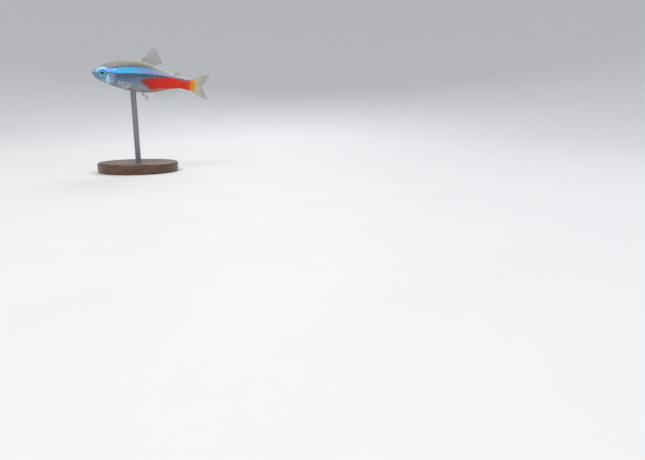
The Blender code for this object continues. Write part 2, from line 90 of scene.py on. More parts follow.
# Skin: its grid, finer on the head, and how far its tapered end runs over the root of the tail fin
HEAD_RINGS = 258
HEAD_END = 0.27
BODY_RINGS = 104
SKIN_AROUND = 264
SKIN_END = 1.035
SKIN_END_LOBES = 0.016
SKIN_END_THIN = 0.02
SKIN_END_LOWER = 0.05
SKIN_UNDER_SCALES = 0.00004

# Head, as in the solids
GILL_REAR = 0.248
GILL_REAR_HEIGHT = -0.010
GILL_UPPER_CURVE = 1.3
GILL_LOWER_CURVE = 10.0
GILL_THROAT = -0.115
GILL_TOP = 0.075
GILL_RAISED = 0.00015
GILL_GROOVE = 0.00018
CHEEK_SHARE = 0.174
CHEEK_HEIGHT = -0.030
CHEEK_CURVE = 4.0
CHEEK_FOOT = [(0.150, -0.086), (0.115, -0.076), (0.085, -0.060)]
LOWER_PLATE = ((0.183, -0.074), (0.205, -0.062), (0.232, -0.048))
THROAT_FOLDS = (0.013, 0.024, 0.035, 0.046)
EYE_SHARE = 0.105
EYE_HEIGHT = 0.008
EYE_RADIUS = 0.00125
EYE_HALF_DEPTH = 0.00072
EYE_OUT = 0.00030
MOUTH_FRONT_HEIGHT = 0.008
MOUTH_CORNER = 0.050
MOUTH_CORNER_HEIGHT = -0.026
MOUTH_DROP_POWER = 1.2
JAW_PLATE = ((0.043, -0.012), (0.060, -0.026), (0.074, -0.043))
JAW_RAISED = 0.00007
NOSTRILS = ((0.047, 0.043, 0.00012), (0.058, 0.047, 0.00016))
NOSTRIL_DEPTH = 0.00015
NOSTRIL_RIM = 0.000022
PORES = (
    (0.150, 0.040), (0.162, 0.018), (0.168, -0.004), (0.169, -0.028), (0.166, -0.052), (0.155, -0.072),
    (0.132, -0.074), (0.108, -0.067), (0.085, -0.055), (0.064, -0.040), (0.066, 0.062), (0.088, 0.078),
    (0.112, 0.090), (0.135, 0.084),
)
PORE_RADIUS = 0.00005
PORE_DEPTH = 0.00006
DEEP_UNIT = 0.0001

# Ridges and grooves of the head: how far off a line, half width and height, in millimetres
MOUTH_SLIT = (0.0, 0.055, -0.26)
LIPS = ((0.21, 0.14, 0.14), (-0.21, 0.15, 0.15), (-0.50, 0.08, -0.04), (0.48, 0.08, -0.03))
JAW_GROOVE = (0.46, 0.06, -0.03)
GILL_SEAM = (-0.40, 0.07, -0.03)
CHEEK_RIDGE = (0.16, 0.11, 0.05)
CHEEK_GROOVE = (0.0, 0.07, -0.08)
LOWER_PLATE_SEAM = (0.0, 0.06, -0.04)
THROAT_FOLD = (0.0, 0.07, -0.035)

# Scales
SCALE_PITCH = 0.0225
SCALE_ROW = 0.0285
SCALE_ROWS = range(-9, 10)
SCALE_COLUMNS = 60
SCALE_ROW_AT_TAIL = 0.72
SCALE_LONG = 2.05
SCALE_TALL = 2.04
SCALE_ROUND = 2.3
SCALE_SIDE_REACH = 0.42
SCALE_ROOT_NARROWER = 0.25
SCALE_THICK = 0.000018
SCALE_SUNK = 0.000075
SCALE_RAISED = 0.000050
SCALE_CROWN = 0.000014
PORED_SCALES_END = 0.36
PORED_TUBE = 0.000022
LAST_SCALE = 1.012
BEHIND_GILL = 0.012
NAPE_LOW = GILL_TOP + 0.03
NAPE_SHARE = 0.215
NAPE_HEIGHT = 0.10
NAPE_SLOPE = 0.10
SCALE_ACROSS = 12
SCALE_ALONG = 8
BAKE_PATCH = 0.003
FIRST_SCALE = 0.15
TABLE_STEP = 0.0075
TABLE_LENGTH = 120

# Fins
MEMBRANE_HALF = 0.000026
MEMBRANE_ROWS = 36
MEMBRANE_PUCKER = 0.00005
MEMBRANE_DIP = 0.05
MEMBRANE_EDGE = 0.35
LOBE_EDGE = 0.15
LOBE_SIDE_REACH = 0.68
ADIPOSE_HALF = 0.00016
RAY_RADIUS = 0.000075
RAY_TIP_RADIUS = 0.000018
RAY_SIDES = 8
RAY_FLAT = 0.8
ACROSS = np.array([0.0, 1.0, 0.0])

# Stand
BASE_ROUND = 0.00055
SOCKET_DEPTH = 0.0013
SOCKET_PLAY = 0.00004
SOCKET_WIDER = 0.0003
SOCKET_BEVEL = 0.0002
BASE_AROUND = 192
STAGE_FLAT = 0.22
STAGE_CURVE = 0.65
ROD_AROUND = 64
ROD_INTO_SKIN = 0.00002

# Camera: registered on the photo's fish
CAMERA_PLACE = (0.00639, -0.17313, 0.01711)
CAMERA_PITCH = math.radians(12.5)
CAMERA_YAW = math.radians(17.46)
FOCAL_PIXELS = 515.0
PHOTO_WIDTH = 645
SENSOR = 36.0


def hermite(u, start, end, start_slope, end_slope):
    """A cubic from one value to another as u goes from 0 to 1, with a slope at each of its ends."""
    leaving = (2 * u**3 - 3 * u**2 + 1) * start + (u**3 - 2 * u**2 + u) * start_slope
    return leaving + (3 * u**2 - 2 * u**3) * end + (u**3 - u**2) * end_slope


def outline(points):
    """A smooth function through the points, round at the snout because it follows the share's root."""
    where = np.sqrt([p[0] for p in points])
    value = np.array([p[1] for p in points])
    slope = np.gradient(value, where)

    def at(share):
        t = np.sqrt(np.clip(share, 0.0, 1.0))
        i = np.clip(np.searchsorted(where, t) - 1, 0, len(where) - 2)
        step = where[i + 1] - where[i]
        u = (t - where[i]) / step
        return hermite(u, value[i], value[i + 1], step * slope[i], step * slope[i + 1])

    return at


back = outline(BACK)
belly = outline(BELLY)
half_width = outline(HALF_WIDTH)

# The place on the belly that rests on the rod, and the body's tilt about it
hold_point = np.array([HOLD_SHARE * LENGTH, 0.0, belly(HOLD_SHARE) * LENGTH])
tilt = np.array(Euler((BANK, NOSE_UP, 0.0)).to_matrix())


def smooth_step(low, high, value):
    t = np.clip((value - low) / (high - low), 0.0, 1.0)
    return t * t * (3 - 2 * t)


def hump(distance, width):
    return np.exp(-((distance / width) ** 2))


def between(first, last, u, power=1.0):
    return first + (last - first) * u**power


def unit(vectors):
    return vectors / np.maximum(np.linalg.norm(vectors, axis=-1, keepdims=True), 1e-15)


def full_turn(count):
    """Evenly spaced angles round a full turn."""
    return np.arange(count) * (2 * math.pi / count)


def skin_point(share, angle):
    """The straight body's surface, where the angle runs from its right flank up to the back."""
    share = np.asarray(share, float)
    beyond = np.clip((share - 1.0) / (SKIN_END - 1.0), 0.0, 1.0)
    thinner = np.sqrt(np.maximum(1.0 - beyond**2, SKIN_END_THIN))
    lower = 1.0 - SKIN_END_LOWER * beyond**2
    tall = (back(share) - belly(share)) / 2 * LENGTH * lower
    wide = half_width(share) * LENGTH * thinner
    middle = (back(share) + belly(share)) / 2 * LENGTH
    out = np.sign(np.cos(angle)) * np.abs(np.cos(angle)) ** FLANK_FULLNESS
    x = (share + SKIN_END_LOBES * beyond * np.sin(2 * angle) ** 2) * LENGTH
    y = wide * out * (1 + SHOULDER * np.sin(angle))
    z = middle + tall * np.sin(angle)
    return np.stack(np.broadcast_arrays(x, y, z), axis=-1)


def flank_point(share, height, side):
    """The point of the left (-1) or right (1) flank at this share and height, both in shares."""
    rise = (height - (back(share) + belly(share)) / 2) / ((back(share) - belly(share)) / 2)
    angle = math.asin(float(np.clip(rise, -1.0, 1.0)))
    return skin_point(share, angle if side > 0 else math.pi - angle)


def flank_normal(share, height, side):
    along = flank_point(share + NEARBY, height, side) - flank_point(share - NEARBY, height, side)
    up = flank_point(share, height + NEARBY, side) - flank_point(share, height - NEARBY, side)
    return unit(np.cross(up, along) * side)


def edge_point(edge, share, out):
    """A point of the back or belly line, moved out from the body by a distance in metres."""
    slope = (edge(share + NEARBY) - edge(share - NEARBY)) / (2 * NEARBY)
    sign = 1.0 if edge is back else -1.0
    normal = np.array([-slope, 0.0, 1.0]) * sign / math.hypot(slope, 1.0)
    return np.array([share * LENGTH, 0.0, edge(share) * LENGTH]) + normal * out


def bend(points):
    """Turns the straight fish's tail to its right, keeping every length along the axis."""
    samples = np.linspace(0.0, BEND_REACH, BEND_SAMPLES) * LENGTH
    heading = TAIL_TURN * smooth_step(BEND_START, BEND_END, samples / LENGTH)
    step = samples[1] - samples[0]
    axis_x = np.concatenate([[0.0], np.cumsum(np.cos(heading[:-1]) * step)])
    axis_y = np.concatenate([[0.0], np.cumsum(np.sin(heading[:-1]) * step)])
    x, y, z = points.T
    turn = np.interp(x, samples, heading)
    new_x = np.interp(x, samples, axis_x) + np.minimum(x, 0.0) - y * np.sin(turn)
    new_y = np.interp(x, samples, axis_y) + y * np.cos(turn)
    return np.stack([new_x, new_y, z], axis=1)


def to_stand(points):
    """Bends straight points and sets them on the stand, in the frame's own coordinates."""
    return (bend(np.asarray(points, float)) - hold_point) @ tilt.T + np.array([0.0, 0.0, HOLD_HEIGHT])


def make_mesh(name, points, faces, values=None, closed=True):
    """An object from points in the stand's frame. values are named numbers, one for each point."""
    mesh = bpy.data.meshes.new(name)
    mesh.from_pydata(np.asarray(points).tolist(), [], [tuple(map(int, f)) for f in faces])
    if closed:
        shape = bmesh.new()
        shape.from_mesh(mesh)
        bmesh.ops.recalc_face_normals(shape, faces=shape.faces)
        shape.to_mesh(mesh)
        shape.free()
    for key, value in (values or {}).items():
        attribute = mesh.attributes.new(key, "FLOAT", "POINT")
        attribute.data.foreach_set("value", np.asarray(value, np.float32).ravel())
    mesh.shade_smooth()
    mesh.update()
    obj = bpy.data.objects.new(name, mesh)
    bpy.context.scene.collection.objects.link(obj)
    return obj


def capped(rings, first, last):
    """Points and faces of a closed skin over a stack of rings, with one point at each end."""
    rows, count = rings.shape[:2]
    points = np.concatenate([rings.reshape(-1, 3), [first, last]])
    faces = []
    for j in range(count):
        k = (j + 1) % count
        faces.append((rows * count, k, j))
        faces.append((rows * count + 1, (rows - 1) * count + j, (rows - 1) * count + k))
        for low in range(0, (rows - 1) * count, count):
            faces.append((low + j, low + k, low + count + k, low + count + j))
    return points, faces


def plate_faces(rows, columns):
    """The faces of a thin closed plate: two sheets over one grid of points, and the rim between them."""
    grid = np.arange(rows * columns).reshape(rows, columns)
    top = np.stack([grid[:-1, :-1], grid[1:, :-1], grid[1:, 1:], grid[:-1, 1:]], axis=-1).reshape(-1, 4)
    rim = np.concatenate([grid[:, 0], grid[-1, 1:], grid[-2::-1, -1], grid[0, -2:0:-1]])
    after = np.roll(rim, -1)
    wall = np.stack([after, rim, rim + grid.size, after + grid.size], axis=-1)
    return np.concatenate([top, top[:, [0, 3, 2, 1]] + grid.size, wall])


def turned(profile, around):
    """Points and faces of a shape turned about Z, from a profile that starts and ends on its axis."""
    turn = full_turn(around)
    radius, height = np.asarray(profile[1:-1], float).T
    across = radius[:, None] * np.cos(turn), radius[:, None] * np.sin(turn)
    rings = np.stack([*across, np.broadcast_to(height[:, None], across[0].shape)], axis=-1)
    return capped(rings, (0.0, 0.0, profile[0][1]), (0.0, 0.0, profile[-1][1]))


def place_values(points):
    """The share, the height and the part of the way up the body of straight points."""
    share = points[:, 0] / LENGTH
    height = points[:, 2] / LENGTH
    rise = (height - belly(share)) / np.maximum(back(share) - belly(share), 1e-4)
    return {"share": share, "height": height, "rise": np.clip(rise, 0.0, 1.0)}


def curve_distance(share, height, line):
    """The distance side on, in metres, to a line of corners, and how far along the line it is."""
    place = np.stack([share, height], axis=-1)
    best = np.full(share.shape, np.inf)
    along = np.zeros(share.shape)
    line = np.asarray(line, float)
    for k, (start, end) in enumerate(zip(line, line[1:])):
        way = end - start
        u = np.clip(((place - start) @ way) / (way @ way), 0.0, 1.0)
        away = place - start - u[..., None] * way
        distance = np.hypot(away[..., 0], away[..., 1])
        nearer = distance < best
        best = np.where(nearer, distance, best)
        along = np.where(nearer, (k + u) / (len(line) - 1), along)
    return best * LENGTH, along


def gill_edge(height):
    """The share at which the gill opening lies, for a height in shares."""
    curve = np.where(height > GILL_REAR_HEIGHT, GILL_UPPER_CURVE, GILL_LOWER_CURVE)
    return GILL_REAR - curve * (height - GILL_REAR_HEIGHT) ** 2


def cheek_edge(height):
    """The share of the hind edge of the cheek, in front of the gill cover."""
    return CHEEK_SHARE + CHEEK_CURVE * (height - CHEEK_HEIGHT) ** 2


def mouth_height(share):
    way = (np.maximum(share, 0.0) / MOUTH_CORNER) ** MOUTH_DROP_POWER
    return MOUTH_FRONT_HEIGHT + (MOUTH_CORNER_HEIGHT - MOUTH_FRONT_HEIGHT) * way


def away_from(points, share, height):
    """How far straight points lie along the body and up from a place on the flank."""
    centre = flank_point(share, height, 1)
    return points[..., 0] - centre[0], points[..., 2] - centre[2]


def ridges(distance, *shapes):
    """Ridges and grooves beside a line: how far off it, half width and height, in millimetres."""
    made = 0.0
    for off, half, tall in shapes:
        made = made + tall * MM * hump(distance - off * MM, half * MM)
    return made


def mouth_relief(share, height):
    """The slit of the mouth, both lips, the upper jaw's plate and the crease under the chin."""
    line = [(s, mouth_height(s)) for s in np.linspace(0.0, MOUTH_CORNER, 26)]
    distance, _ = curve_distance(share, height, line)
    signed = distance * np.where(height > mouth_height(share), 1.0, -1.0)
    ahead = 1.0 - smooth_step(MOUTH_CORNER, MOUTH_CORNER + 0.012, share)
    thin = 1.0 - 0.55 * smooth_step(0.3 * MOUTH_CORNER, MOUTH_CORNER, share)
    jaw, _ = curve_distance(share, height, JAW_PLATE)
    plate = JAW_RAISED * (1.0 - smooth_step(0.26 * MM, 0.42 * MM, jaw)) + ridges(jaw, JAW_GROOVE)
    return (ridges(signed, *LIPS) * thin + ridges(signed, MOUTH_SLIT)) * ahead + plate


def eye_relief(points):
    """The socket that the eye sits in, its raised rim and the plates of bone under it."""
    off_x, off_z = away_from(points, EYE_SHARE, EYE_HEIGHT)
    radius = np.hypot(off_x, off_z) / EYE_RADIUS
    turn = np.arctan2(off_z, off_x)
    below = smooth_step(0.25, -0.35, np.sin(turn))
    socket = 0.75 * (1.0 - smooth_step(0.905, 0.99, radius))
    short = flank_point(EYE_SHARE, EYE_HEIGHT, 1)[1] - 0.20 * MM - np.abs(points[..., 1])
    rim = 0.06 * hump(radius - 1.05, 0.08)
    rim = rim + np.clip(short / MM, 0.0, 0.30) * smooth_step(1.50, 1.04, radius)
    ditch = 0.03 * hump(radius - 1.32, 0.08) * between(0.25, 1.0, below)
    ring = smooth_step(1.3, 1.38, radius) * smooth_step(1.74, 1.66, radius)
    plates = 0.035 * hump(radius - 1.72, 0.064) + 0.02 * np.cos(turn * 3.5 + 0.6) ** 40 * ring
    return (rim - socket - ditch - plates * below) * MM


def gill_relief(share, height):
    """The gill cover's free edge, the cheek's edge before it and the folds of the throat."""
    heights = np.linspace(GILL_TOP, GILL_THROAT, 60)
    edge, along = curve_distance(share, height, np.stack([gill_edge(heights), heights], axis=1))
    behind = np.where(share > gill_edge(height), edge, -edge)
    fade = smooth_step(0.0, 0.10, along) * smooth_step(1.02, 0.93, along) * (height < GILL_TOP + 0.02)
    cover = GILL_RAISED * np.exp(np.minimum(behind, 0.0) / (1.7 * MM))
    groove = GILL_GROOVE * np.exp(-np.maximum(behind, 0.0) / (0.30 * MM))
    onto_trunk = smooth_step(-0.05 * MM, 0.05 * MM, behind)
    opening = between(cover, -groove, onto_trunk) + ridges(behind, GILL_SEAM)
    line = [(cheek_edge(h), h) for h in np.linspace(0.058, -0.086, 40)] + CHEEK_FOOT
    away, place = curve_distance(share, height, line)
    cheek = ridges(away, CHEEK_RIDGE) * (share < cheek_edge(height)) + ridges(away, CHEEK_GROOVE)
    cheek = cheek * smooth_step(0.0, 0.12, place) * smooth_step(1.0, 0.8, place)
    lower, _ = curve_distance(share, height, LOWER_PLATE)
    folds = 0.0
    for back_by in THROAT_FOLDS:
        folds = folds + ridges((share - gill_edge(height) + back_by) * LENGTH, THROAT_FOLD)
    folds = folds * smooth_step(-0.070, -0.084, height) * smooth_step(0.06, 0.09, share)
    return opening * fade + cheek + ridges(lower, LOWER_PLATE_SEAM) + folds


def pit_relief(points):
    """The two nostrils of each side and the row of fine pores round the cheek, jaw and crown."""
    made = 0.0
    for share, height, size in NOSTRILS:
        away = np.hypot(*away_from(points, share, height)) / size
        made = made - NOSTRIL_DEPTH * hump(away, 0.8) + NOSTRIL_RIM * hump(away - 1.6, 0.8)
    for share, height in PORES:
        made = made - PORE_DEPTH * hump(np.hypot(*away_from(points, share, height)), PORE_RADIUS)
    return made


def grid_normals(points):
    """Unit normals of a grid that is closed round its second axis."""
    around = np.roll(points, -1, axis=1) - np.roll(points, 1, axis=1)
    normal = unit(np.cross(np.gradient(points, axis=0), around))
    middle = points.mean(axis=1, keepdims=True)
    return normal * np.sign(((points - middle) * normal).sum(axis=-1).mean())


def make_skin():
    """One skin from the snout to the root of the tail fin, with the head's features in its surface."""
    head = np.linspace(0.0, math.sqrt(HEAD_END), HEAD_RINGS + 1)[1:] ** 2
    body = np.linspace(HEAD_END, SKIN_END, BODY_RINGS + 1)[1:]
    share, angle = np.meshgrid(np.concatenate([head, body]), full_turn(SKIN_AROUND), indexing="ij")
    points = skin_point(share, angle)
    height = points[..., 2] / LENGTH
    relief = mouth_relief(share, height) + pit_relief(points)
    relief = relief + eye_relief(points) + gill_relief(share, height)
    scaled = smooth_step(0.002, 0.010, share - gill_edge(height))
    raised = points + grid_normals(points) * (relief - SKIN_UNDER_SCALES * scaled)[..., None]
    tip = (raised[0, :, 0].mean(), 0.0, MOUTH_FRONT_HEIGHT * LENGTH * 0.5)
    end = raised[-1].mean(axis=0)
    base, faces = capped(points, tip, end)
    values = place_values(base)
    # How deep each point lies in the relief, less round the eye: the material paints shade into the
    # grooves and recesses by it
    from_eye = np.hypot(share - EYE_SHARE, height - EYE_HEIGHT) * LENGTH / EYE_RADIUS
    shaded = relief * between(0.08, 1.0, smooth_step(1.0, 1.15, from_eye))
    values["deep"] = np.clip([*shaded.ravel() / DEEP_UNIT, 0.0, 0.0], -3.0, 3.0)
    return make_mesh("fish_skin", to_stand(capped(raised, tip, end)[0]), faces, values)


def arc_lengths(share):
    """The way round the right flank, from angle -90 to 90 degrees, in shares from its middle."""
    angle = np.linspace(-math.pi / 2, math.pi / 2, 181)
    points = skin_point(share, angle)
    step = np.linalg.norm(np.diff(points, axis=0), axis=1)
    length = np.concatenate([[0.0], np.cumsum(step)]) / LENGTH
    return angle, length - np.interp(0.0, angle, length)


def scale_places():
    """Each scale: share, way round from the flank's middle, row height, side, random tone and pored."""
    rng = np.random.default_rng(7)
    table = [arc_lengths(FIRST_SCALE + TABLE_STEP * k) for k in range(TABLE_LENGTH)]
    places = []
    for row in SCALE_ROWS:
        for column in range(SCALE_COLUMNS):
            share = FIRST_SCALE + SCALE_PITCH * (column + 0.5 * (row % 2))
            if share > LAST_SCALE:
                continue
            angle, length = table[min(int((share - FIRST_SCALE) / TABLE_STEP), TABLE_LENGTH - 1)]
            narrow = between(1.0, SCALE_ROW_AT_TAIL, smooth_step(0.45, 0.95, share))
            off = row * SCALE_ROW * narrow
            room = length[-1] if off > 0 else -length[0]
            if abs(off) > room + 0.10 * SCALE_ROW:
                continue
            height = skin_point(share, np.interp(off, length, angle))[2] / LENGTH
            nape = NAPE_SHARE + NAPE_SLOPE * (height - NAPE_HEIGHT)
            if share < (nape if height >= NAPE_LOW else gill_edge(height) + BEHIND_GILL):
                continue
            for side in (-1, 1):
                pored = row == 0 and share < PORED_SCALES_END
                places.append((share, off, narrow, side, rng.uniform(0.0, 1.0), pored))
    return places


def scale_mesh(places):
    """Points, faces, values and bake map of a set of scales, each a thin closed plate."""
    across = np.linspace(-1.0, 1.0, SCALE_ACROSS + 1)
    along = np.linspace(0.0, 1.0, SCALE_ALONG + 1)
    v, u = np.meshgrid(across, along, indexing="ij")
    round_end = np.sqrt(np.clip(1.0 - np.abs(v) ** SCALE_ROUND, 0.0, 1.0))
    reach = u * between(SCALE_SIDE_REACH, 1.0, round_end)
    beside = v * (1.0 - SCALE_ROOT_NARROWER * (1.0 - u) ** 2) * SCALE_TALL / 2 * SCALE_ROW
    crown = between(-SCALE_SUNK, SCALE_RAISED, reach, 0.8) - SCALE_CROWN * v**2
    pore = PORED_TUBE * hump(v, 0.22) * smooth_step(0.45, 0.6, u) * smooth_step(0.98, 0.9, u)
    patch = np.tile(np.stack([reach, v * 0.5 + 0.5], axis=-1).reshape(-1, 2) * BAKE_PATCH, (2, 1))
    points, maps = [], []
    for share, off, narrow, side, _, pored in places:
        angle, length = arc_lengths(share)
        way_round = off + beside * narrow
        beyond = way_round - np.clip(way_round, length[0], length[-1])
        turn = np.interp(way_round, length, angle) + beyond * (math.pi / 2 / max(length[-1], 1e-4))
        at = np.clip(share + SCALE_PITCH * (SCALE_LONG * (reach - 0.5)), 0.02, SKIN_END - 0.002)
        place = skin_point(at, turn)
        normal = unit(np.cross(skin_point(at, turn + 0.01) - place, skin_point(at + 0.002, turn) - place))
        for drop in (0.0, SCALE_THICK):
            made = place + normal * (crown + pore * pored - drop)[..., None]
            points.append(made.reshape(-1, 3) * np.array([1.0, side, 1.0]))
        maps.append(patch + np.array([share, 0.5 + side * (0.25 + 0.5 * off)]))
    points = np.concatenate(points)
    values = place_values(points)
    values["tone"] = np.repeat([place[4] for place in places], 2 * v.size)
    values["edge"] = np.tile(np.maximum(u, np.abs(v) ** 3).ravel(), 2 * len(places))
    starts = np.arange(len(places)) * 2 * v.size
    faces = (plate_faces(*v.shape) + starts[:, None, None]).reshape(-1, 4)
    return points, faces, values, np.concatenate(maps)


def make_scales():
    """The scales of each flank, as two coats divided where the trunk ends."""
    places = scale_places()
    coats = []
    for word, side in (("left", -1), ("right", 1)):
        for part, low, high in (("front", 0.0, 0.55), ("rear", 0.55, 2.0)):
            chosen = [p for p in places if p[3] == side and low <= p[0] < high]
            points, faces, values, maps = scale_mesh(chosen)
            coat = make_mesh(f"scales_{word}_{part}", to_stand(points), faces, values)
            layer = coat.data.uv_layers.new(name="OFBake")
            corners = np.zeros(len(coat.data.loops), np.int32)
            coat.data.loops.foreach_get("vertex_index", corners)
            layer.data.foreach_set("uv", maps[corners].astype(np.float32).ravel())
            coats.append(coat)
    return coats


def tube(path, radii, across):
    """Points and faces of a closed tapering bar along a path, flattened a little along across."""
    path = np.asarray(path, float)
    way = unit(np.gradient(path, axis=0))
    beside = unit(np.cross(way, across))
    up = RAY_FLAT * np.cross(beside, way)
    turn = full_turn(RAY_SIDES)
    ring = np.cos(turn)[:, None] * beside[:, None] + np.sin(turn)[:, None] * up[:, None]
    rings = path[:, None] + ring * np.asarray(radii)[:, None, None]
    return capped(rings, path[0], path[-1])


def join_tubes(tubes):
    points, faces, start = [], [], 0
    for made, shape in tubes:
        points.append(made)
        faces += [tuple(c + start for c in face) for face in shape]
        start += len(made)
    return np.concatenate(points), faces


# Fins on the midline, as in the solids: roots, lengths and rises of the first and last ray
MEDIAN_FINS = {
    "dorsal_fin": {
        "edge": back, "shares": (0.470, 0.600), "lengths": (0.205, 0.085), "rises": (56, 22),
        "droop": 0.80, "bow": 0.03, "rays": 11,
    },
    "anal_fin": {
        "edge": belly, "shares": (0.612, 0.850), "lengths": (0.150, 0.055), "rises": (62, 30),
        "droop": 0.45, "bow": 0.03, "rays": 19,
    },
    "adipose_fin": {
        "edge": back, "shares": (0.800, 0.838), "lengths": (0.066, 0.036), "rises": (32, 4),
        "droop": 1.0, "bow": 0.0, "rays": 0,
    },
}
CAUDAL_LENGTHS = (0.280, 0.120)
CAUDAL_RISES = (24, 0.0)
CAUDAL_DROOP = 0.60
CAUDAL_BOW = 0.04
CAUDAL_ROOT = 0.95
CAUDAL_RAYS = {"upper": 10, "lower": 10}
PAIRED_FINS = {
    "pectoral_fin": {
        "place": (0.262, -0.055), "length": 0.160, "base": 0.030,
        "way": (0.84, 0.44, -0.32), "lead": (0.25, 0.10, 1.0), "spread": 32, "rays": 10,
    },
    "pelvic_fin": {
        "place": (0.475, -0.120), "length": 0.150, "base": 0.026,
        "way": (0.70, 0.30, -0.65), "lead": (-0.70, 0.60, -0.10), "spread": 36, "rays": 8,
    },
}
PAIRED_LAST_RAY = 0.55
PAIRED_DROOP = 1.4
LEADING_RAYS = 0.13
LEADING_SHORTER = 0.34
ROOT_SUNK = -0.10
FIN_REACH = 0.985
FIRST_FORK = 0.36
SECOND_FORK = 0.68
FIRST_SPREAD = 0.22
SECOND_SPREAD = 0.10
FORK_OVERLAP = 0.02
BRANCH_THINNER = 0.78
PLAIN_STEPS = 28
BRANCH_STEPS = (14, 12, 10)
SIMPLE_RAYS = 2


def leading(u):
    """How much shorter the first few rays are, which rounds a fin's front corner."""
    return 1.0 - LEADING_SHORTER * max(0.0, 1.0 - u / LEADING_RAYS) ** 2


def ray_end(start, length, degrees, sign):
    """The tip of a ray of this length, in shares, that rises from the body's axis by these degrees."""
    rise = math.radians(degrees)
    return start + length * LENGTH * np.array([math.cos(rise), 0.0, sign * math.sin(rise)])


def median_fin(edge, shares, lengths, rises, droop, bow, rays):
    """The root line, the tip line and the thickness direction of a fin on the back or belly."""
    sign = 1.0 if edge is back else -1.0

    def root(u):
        return edge_point(edge, between(*shares, u), GAP)

    def tip(u):
        length = between(*lengths, u, droop) * (leading(u) if rays else 1.0)
        return ray_end(root(u), length, between(*rises, u), sign)

    return SimpleNamespace(root=root, tip=tip, across=ACROSS, bow=(bow * sign, bow * sign), rays=rays)


def caudal_lobe(sign, rays):
    outer = CAUDAL_ROOT * (back(1.0) if sign > 0 else belly(1.0))
    inner = (back(1.0) + belly(1.0)) / 2

    def root(u):
        return np.array([LENGTH + GAP, 0.0, between(outer, inner, u) * LENGTH])

    def tip(u):
        length = between(*CAUDAL_LENGTHS, u, CAUDAL_DROOP) * leading(u)
        return ray_end(root(u), length, between(*CAUDAL_RISES, u), sign)

    return SimpleNamespace(root=root, tip=tip, across=ACROSS, bow=(-CAUDAL_BOW * sign, 0.0), rays=rays)


def without(direction, other):
    return unit(direction - other * direction.dot(other))


def paired_fin(side, place, length, base, way, lead, spread, rays):
    """A fan of rays on one flank, whose root lies along the skin."""
    normal = flank_normal(*place, side)
    foot = flank_point(*place, side) + normal * GAP
    middle, toward = unit(np.array([way, lead]) * np.array([1.0, side, 1.0]))
    front = without(toward, middle)
    along = without(front, normal)

    def root(u):
        return foot + along * (0.5 - u) * base * LENGTH

    def tip(u):
        angle = math.radians(spread) * (0.5 - u)
        reach = length * between(1.0, PAIRED_LAST_RAY, u, PAIRED_DROOP) * LENGTH
        return root(u) + reach * (math.cos(angle) * middle + math.sin(angle) * front)

    return SimpleNamespace(root=root, tip=tip, across=np.cross(middle, front), bow=(0.0, 0.0), rays=rays)


def fin_point(fin, u, v):
    """A point of the fin's middle sheet: u runs from its first ray to its last, v from root to tip."""
    u = min(max(u, 0.0), 1.0)
    start = fin.root(u)
    chord = fin.tip(u) - start
    lift = np.cross(fin.across, chord) * between(*fin.bow, u)
    return start + chord * v + lift * (4 * v * (1 - v))


def make_membrane(name, fin, thick=MEMBRANE_HALF, fleshy=False):
    """A thin closed sheet, a little puckered between the rays, with its edge drawn in between them."""
    spans = max(fin.rays - 1, 3)
    columns = spans * 6 + 1
    sheet, halves, alongs, spread = [], [], [], []
    for u in np.linspace(0.0, 1.0, columns):
        wave = 0.0 if fleshy else math.sin(math.pi * u * spans)
        reach = between(LOBE_SIDE_REACH, 1.0, math.sqrt(1.0 - abs(2 * u - 1) ** 2.5)) if fleshy else 1.0
        end = FIN_REACH * reach - MEMBRANE_DIP * wave**2
        for v in between(ROOT_SUNK, end, np.linspace(0.0, 1.0, MEMBRANE_ROWS + 1)):
            out = max(v, 0.0)
            half = between(1.0, MEMBRANE_EDGE, out)
            if fleshy:
                rounded = math.sqrt(max(0.0, 1.0 - out**2)) * math.sin(math.pi * (0.08 + 0.84 * u))
                half = max(rounded, LOBE_EDGE)
            sheet.append(fin_point(fin, u, v) + fin.across * MEMBRANE_PUCKER * wave * out)
            halves.append(thick * half * fin.across)
            alongs.append(v)
            spread.append(u)
    points = np.concatenate([np.add(sheet, halves), np.subtract(sheet, halves)])
    values = {"share": points[:, 0] / LENGTH, "along": alongs * 2, "spread": spread * 2}
    return make_mesh(name, to_stand(points), plate_faces(columns, MEMBRANE_ROWS + 1), values)


def ray_radius(v, level):
    return between(RAY_RADIUS, RAY_TIP_RADIUS, max(v, 0.0), 0.8) * BRANCH_THINNER**level


def forked(v, start):
    """How far a branch has left its ray, as a share of its spread, past the fork's start."""
    return max(0.0, (v - start) / (1 - start)) ** 0.9


